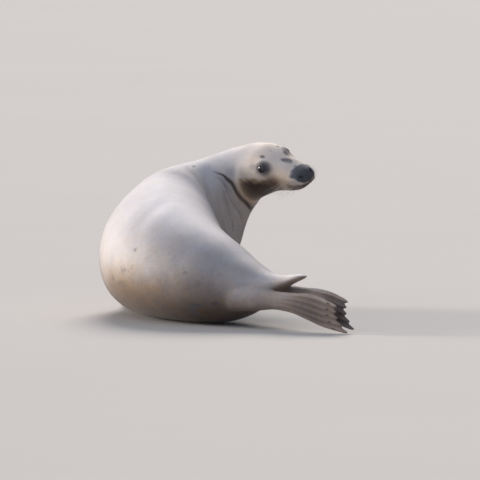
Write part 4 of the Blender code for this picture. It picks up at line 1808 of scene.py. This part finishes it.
@dataclass
class Coat:
    """Tufts of short hair over the skin, laid along the body by Geometry Nodes."""

    skin: bpy.types.Object
    material: bpy.types.Material
    density: float = 190000.0  # tufts to the square metre on the trunk
    close_density: float = 275000.0  # on the head
    flipper_density: float = 230000.0
    quick_share: float = 0.2
    width: float = 0.15  # of a tuft, as a share of its length
    shortest: float = 0.0021  # a tuft would be a speck below this

    def tuft(self) -> bpy.types.Object:
        """One tuft: a closed sliver that lies along +X and lifts towards its tip.

        Returns:
            The object, one long and one wide.
        """
        points = [(0.0, -0.5, -0.06), (0.0, 0.5, -0.06), (0.25, 0.0, 0.05), (1.0, 0.0, 0.13)]
        faces = [(0, 1, 2), (0, 2, 3), (2, 1, 3), (1, 0, 3)]
        made = mesh_object("tuft", points, faces, recalculate=True)
        made.data.shade_flat()
        local = [(x, y + 0.5, 0.0) for x, y, _ in points]
        layer = made.data.attributes.new("patch", "FLOAT_VECTOR", "POINT")
        layer.data.foreach_set("vector", np.array(local, np.float32).ravel())
        return made

    def tree(self) -> bpy.types.NodeTree:
        """The node tree that strews tufts, turns them to the lie and gives them their bake map.

        Returns:
            The tree, with inputs Geometry, Tuft, Density, Seed, Width and Finish.
        """
        tree = bpy.data.node_groups.new("seal_tufts", "GeometryNodeTree")
        sockets = (
            ("Geometry", "NodeSocketGeometry"),
            ("Tuft", "NodeSocketObject"),
            ("Density", "NodeSocketFloat"),
            ("Seed", "NodeSocketInt"),
            ("Width", "NodeSocketFloat"),
            ("Finish", "NodeSocketMaterial"),
        )
        for name, kind in sockets:
            tree.interface.new_socket(name, in_out="INPUT", socket_type=kind)
        tree.interface.new_socket("Geometry", in_out="OUTPUT", socket_type="NodeSocketGeometry")
        given = add_node(tree, "NodeGroupInput").outputs
        read = "GeometryNodeInputNamedAttribute"
        fur = add_node(tree, read, {"data_type": "FLOAT"}, {"Name": "fur"})
        lie, root, patch = (
            add_node(tree, read, {"data_type": "FLOAT_VECTOR"}, {"Name": name})
            for name in ("lie", "unwrap", "patch")
        )
        furred = add_node(
            tree,
            "FunctionNodeCompare",
            {"data_type": "FLOAT", "operation": "GREATER_THAN"},
            {0: fur.outputs[0], 1: self.shortest},
        )
        strewn = add_node(
            tree,
            "GeometryNodeDistributePointsOnFaces",
            {"distribute_method": "RANDOM"},
            {
                "Mesh": given["Geometry"],
                "Selection": furred.outputs[0],
                "Density": given["Density"],
                "Seed": given["Seed"],
            },
        )
        upright = add_node(
            tree, "FunctionNodeAlignRotationToVector", {"axis": "Z"}, {"Vector": strewn.outputs["Normal"]}
        )
        stray = add_node(
            tree,
            "FunctionNodeRandomValue",
            {"data_type": "FLOAT_VECTOR"},
            {0: (-0.16, -0.16, -0.16), 1: (0.16, 0.16, 0.16), "Seed": 3},
        )
        strayed = add_node(
            tree, "ShaderNodeVectorMath", {"operation": "ADD"}, {0: lie.outputs[0], 1: stray.outputs[0]}
        )
        laid = add_node(
            tree,
            "FunctionNodeAlignRotationToVector",
            {"axis": "X", "pivot_axis": "Z"},
            {"Rotation": upright.outputs[0], "Vector": strayed.outputs[0]},
        )
        vary = add_node(
            tree, "FunctionNodeRandomValue", {"data_type": "FLOAT"}, {2: 0.75, 3: 1.25, "Seed": 5}
        )
        long = add_math(tree, "MULTIPLY", fur.outputs[0], vary.outputs[1])
        wide = add_math(tree, "MULTIPLY", long, given["Width"])
        size = add_node(tree, "ShaderNodeCombineXYZ", links={"X": long, "Y": wide, "Z": wide})
        tuft = add_node(tree, "GeometryNodeObjectInfo", links={"Object": given["Tuft"]})
        shade = add_node(
            tree, "FunctionNodeRandomValue", {"data_type": "FLOAT"}, {2: -0.5, 3: 0.5, "Seed": 9}
        )
        shaded = add_node(
            tree,
            "GeometryNodeStoreNamedAttribute",
            {"data_type": "FLOAT", "domain": "POINT"},
            {"Geometry": strewn.outputs["Points"], "Name": "shade", "Value": shade.outputs[1]},
        )
        planted = add_node(
            tree,
            "GeometryNodeInstanceOnPoints",
            links={
                "Points": shaded.outputs[0],
                "Instance": tuft.outputs["Geometry"],
                "Rotation": laid.outputs[0],
                "Scale": size.outputs[0],
            },
        )
        real = add_node(tree, "GeometryNodeRealizeInstances", links={0: planted.outputs[0]})
        # A tuft is a patch 0.003 across at its root's place on the skin's own unwrap.
        spot = add_node(
            tree,
            "ShaderNodeVectorMath",
            {"operation": "MULTIPLY_ADD"},
            {0: patch.outputs[0], 1: (0.003, 0.003, 0.0), 2: root.outputs[0]},
        )
        mapped = add_node(
            tree,
            "GeometryNodeStoreNamedAttribute",
            {"data_type": "FLOAT2", "domain": "CORNER"},
            {"Geometry": real.outputs[0], "Name": "OFBake", "Value": spot.outputs[0]},
        )
        dressed = add_node(
            tree,
            "GeometryNodeSetMaterial",
            links={"Geometry": mapped.outputs[0], "Material": given["Finish"]},
        )
        add_node(tree, "NodeGroupOutput", links={0: dressed.outputs[0]})
        return tree

    def build(self) -> list[bpy.types.Object]:
        """Builds the coat's pieces, one to each region and under the limit of faces.

        Returns:
            The objects.
        """
        tuft, tree, made = self.tuft(), self.tree(), []
        for number, region in enumerate(Region):
            bed = self.bed(number)
            close = {Region.HEAD: self.close_density, Region.FLIPPERS: self.flipper_density}
            density = close.get(region, self.density)
            given = {
                "Tuft": tuft,
                "Density": density,
                "Seed": SEED + number,
                "Width": self.width,
                "Finish": self.material,
            }
            modifier = bed.modifiers.new("Tufts", "NODES")
            modifier.node_group = tree
            for item in tree.interface.items_tree:
                if item.in_out == "INPUT" and item.name in given:
                    modifier[item.identifier] = given[item.name]
            graph = bpy.context.evaluated_depsgraph_get()
            mesh = bpy.data.meshes.new_from_object(bed.evaluated_get(graph))
            bpy.data.objects.remove(bed)
            mesh.name = region.value
            made.append(linked(region.value, mesh))
        bpy.data.objects.remove(tuft)
        return made

    def dress(self) -> None:
        """Builds the coat and dresses each piece."""
        for piece in self.build():
            finish_piece(piece, self.material)

    def bed(self, number: int) -> bpy.types.Object:
        """A copy of the skin's faces in one region.

        Args:
            number: the region's place in the enumeration.

        Returns:
            The object.
        """
        mesh = self.skin.data.copy()
        shape = bmesh.new()
        shape.from_mesh(mesh)
        layer = shape.verts.layers.int["region"]
        others = [f for f in shape.faces if f.verts[0][layer] != number]
        bmesh.ops.delete(shape, geom=others, context="FACES")
        shape.to_mesh(mesh)
        shape.free()
        return linked("bed", mesh)


@dataclass(frozen=True)
class Lamp:
    """A far, soft light."""

    name: str
    strength: float
    spread: float  # degrees across, as seen from the floor
    way: tuple  # where it shines
    colour: str


@dataclass(frozen=True)
class Studio:
    """A pale floor, soft light and the camera."""

    elevation: float = 4.0  # degrees
    distance: float = 20.0
    view_width: float = 1.344  # across the picture at the animal
    sensor: float = 36.0
    aim: tuple = (0.041, -0.177, 0.232)  # from the origin under the animal's middle
    floor_size: float = 3000.0  # so large that its edge lies at the horizon
    view_end: float = 2500.0  # how far the camera sees
    lamps: tuple = (
        Lamp("key", 3.9, 24.0, (0.92, -0.35, -0.16), "#fff4ea"),
        Lamp("back", 2.5, 28.0, (-0.07, -0.82, -0.56), "#fff4ea"),
        Lamp("fill", 0.45, 60.0, (0.40, 0.75, -0.53), "#e8eeff"),
    )
    sky_colour: str = "#cedbf5"
    sky_strength: float = 0.42

    def camera(self) -> None:
        """Sets up the camera, a long lens a little above the floor."""
        data = bpy.data.cameras.new("camera")
        data.sensor_width = self.sensor
        data.lens = self.sensor * self.distance / self.view_width
        data.clip_end = self.view_end
        made = linked("camera", data)
        turn = math.radians(self.elevation)
        back = Vector((0.0, -math.cos(turn), math.sin(turn)))
        made.location = Vector(self.aim) + back * self.distance
        made.rotation_mode = "QUATERNION"
        made.rotation_quaternion = (-back).to_track_quat("-Z", "Y")
        bpy.context.scene.camera = made

    def floor(self) -> None:
        """Lays the floor, just under the animal."""
        half = self.floor_size / 2
        corners = [(-half, -half, 0.0), (half, -half, 0.0), (half, half, 0.0), (-half, half, 0.0)]
        made = mesh_object("floor", corners, [[0, 1, 2, 3]])
        made.data.materials.append(FLOOR_PAINT.material())

    def lights(self) -> None:
        """Hangs soft lights at the left, behind and in front, under an even sky."""
        for lamp in self.lamps:
            data = bpy.data.lights.new(lamp.name, "SUN")
            data.energy = lamp.strength
            data.angle = math.radians(lamp.spread)
            data.color = linear(lamp.colour)[:3]
            made = linked(lamp.name, data)
            made.rotation_mode = "QUATERNION"
            made.rotation_quaternion = Vector(lamp.way).to_track_quat("-Z", "Y")
        world = bpy.data.worlds.new("soft_sky")
        bpy.context.scene.world = world
        world.use_nodes = True
        sky = world.node_tree.nodes["Background"]
        sky.inputs["Color"].default_value = linear(self.sky_colour)
        sky.inputs["Strength"].default_value = self.sky_strength
        bpy.context.scene.view_settings.view_transform = "Standard"


def main() -> None:
    """Builds the seal's looks, then the studio, and notes how large the model came out."""
    spine = Spine()
    face = Face(spine)
    trunk = Trunk(spine, face).build()
    flippers = []
    for side, word in ((1, "left"), (-1, "right")):
        flippers.append(Flipper(f"hind_flipper_{word}", hind_limb(spine, side)))
        flippers.append(Flipper(f"fore_flipper_{word}", fore_limb(spine, side)))
    skin = Skin(trunk, [flipper.build() for flipper in flippers])
    skin_finish = CoatFinish("seal_skin_short_hair", bump=0.0004).material()
    coat_finish = CoatFinish("seal_coat_tufts", bump=0.0002, tufted=True).material()
    skin.dress(skin_finish)
    Coat(skin.object, coat_finish).dress()
    Eyes(face).dress(EyeFinish().material(), WET_LID.material())
    horn = CLAW_HORN.material()
    for flipper in flippers:
        flipper.dress(horn)
    Whiskers(face, trunk).dress(WHISKER.material())
    studio = Studio()
    studio.floor()
    studio.lights()
    studio.camera()


if __name__ == "__main__":
    main()
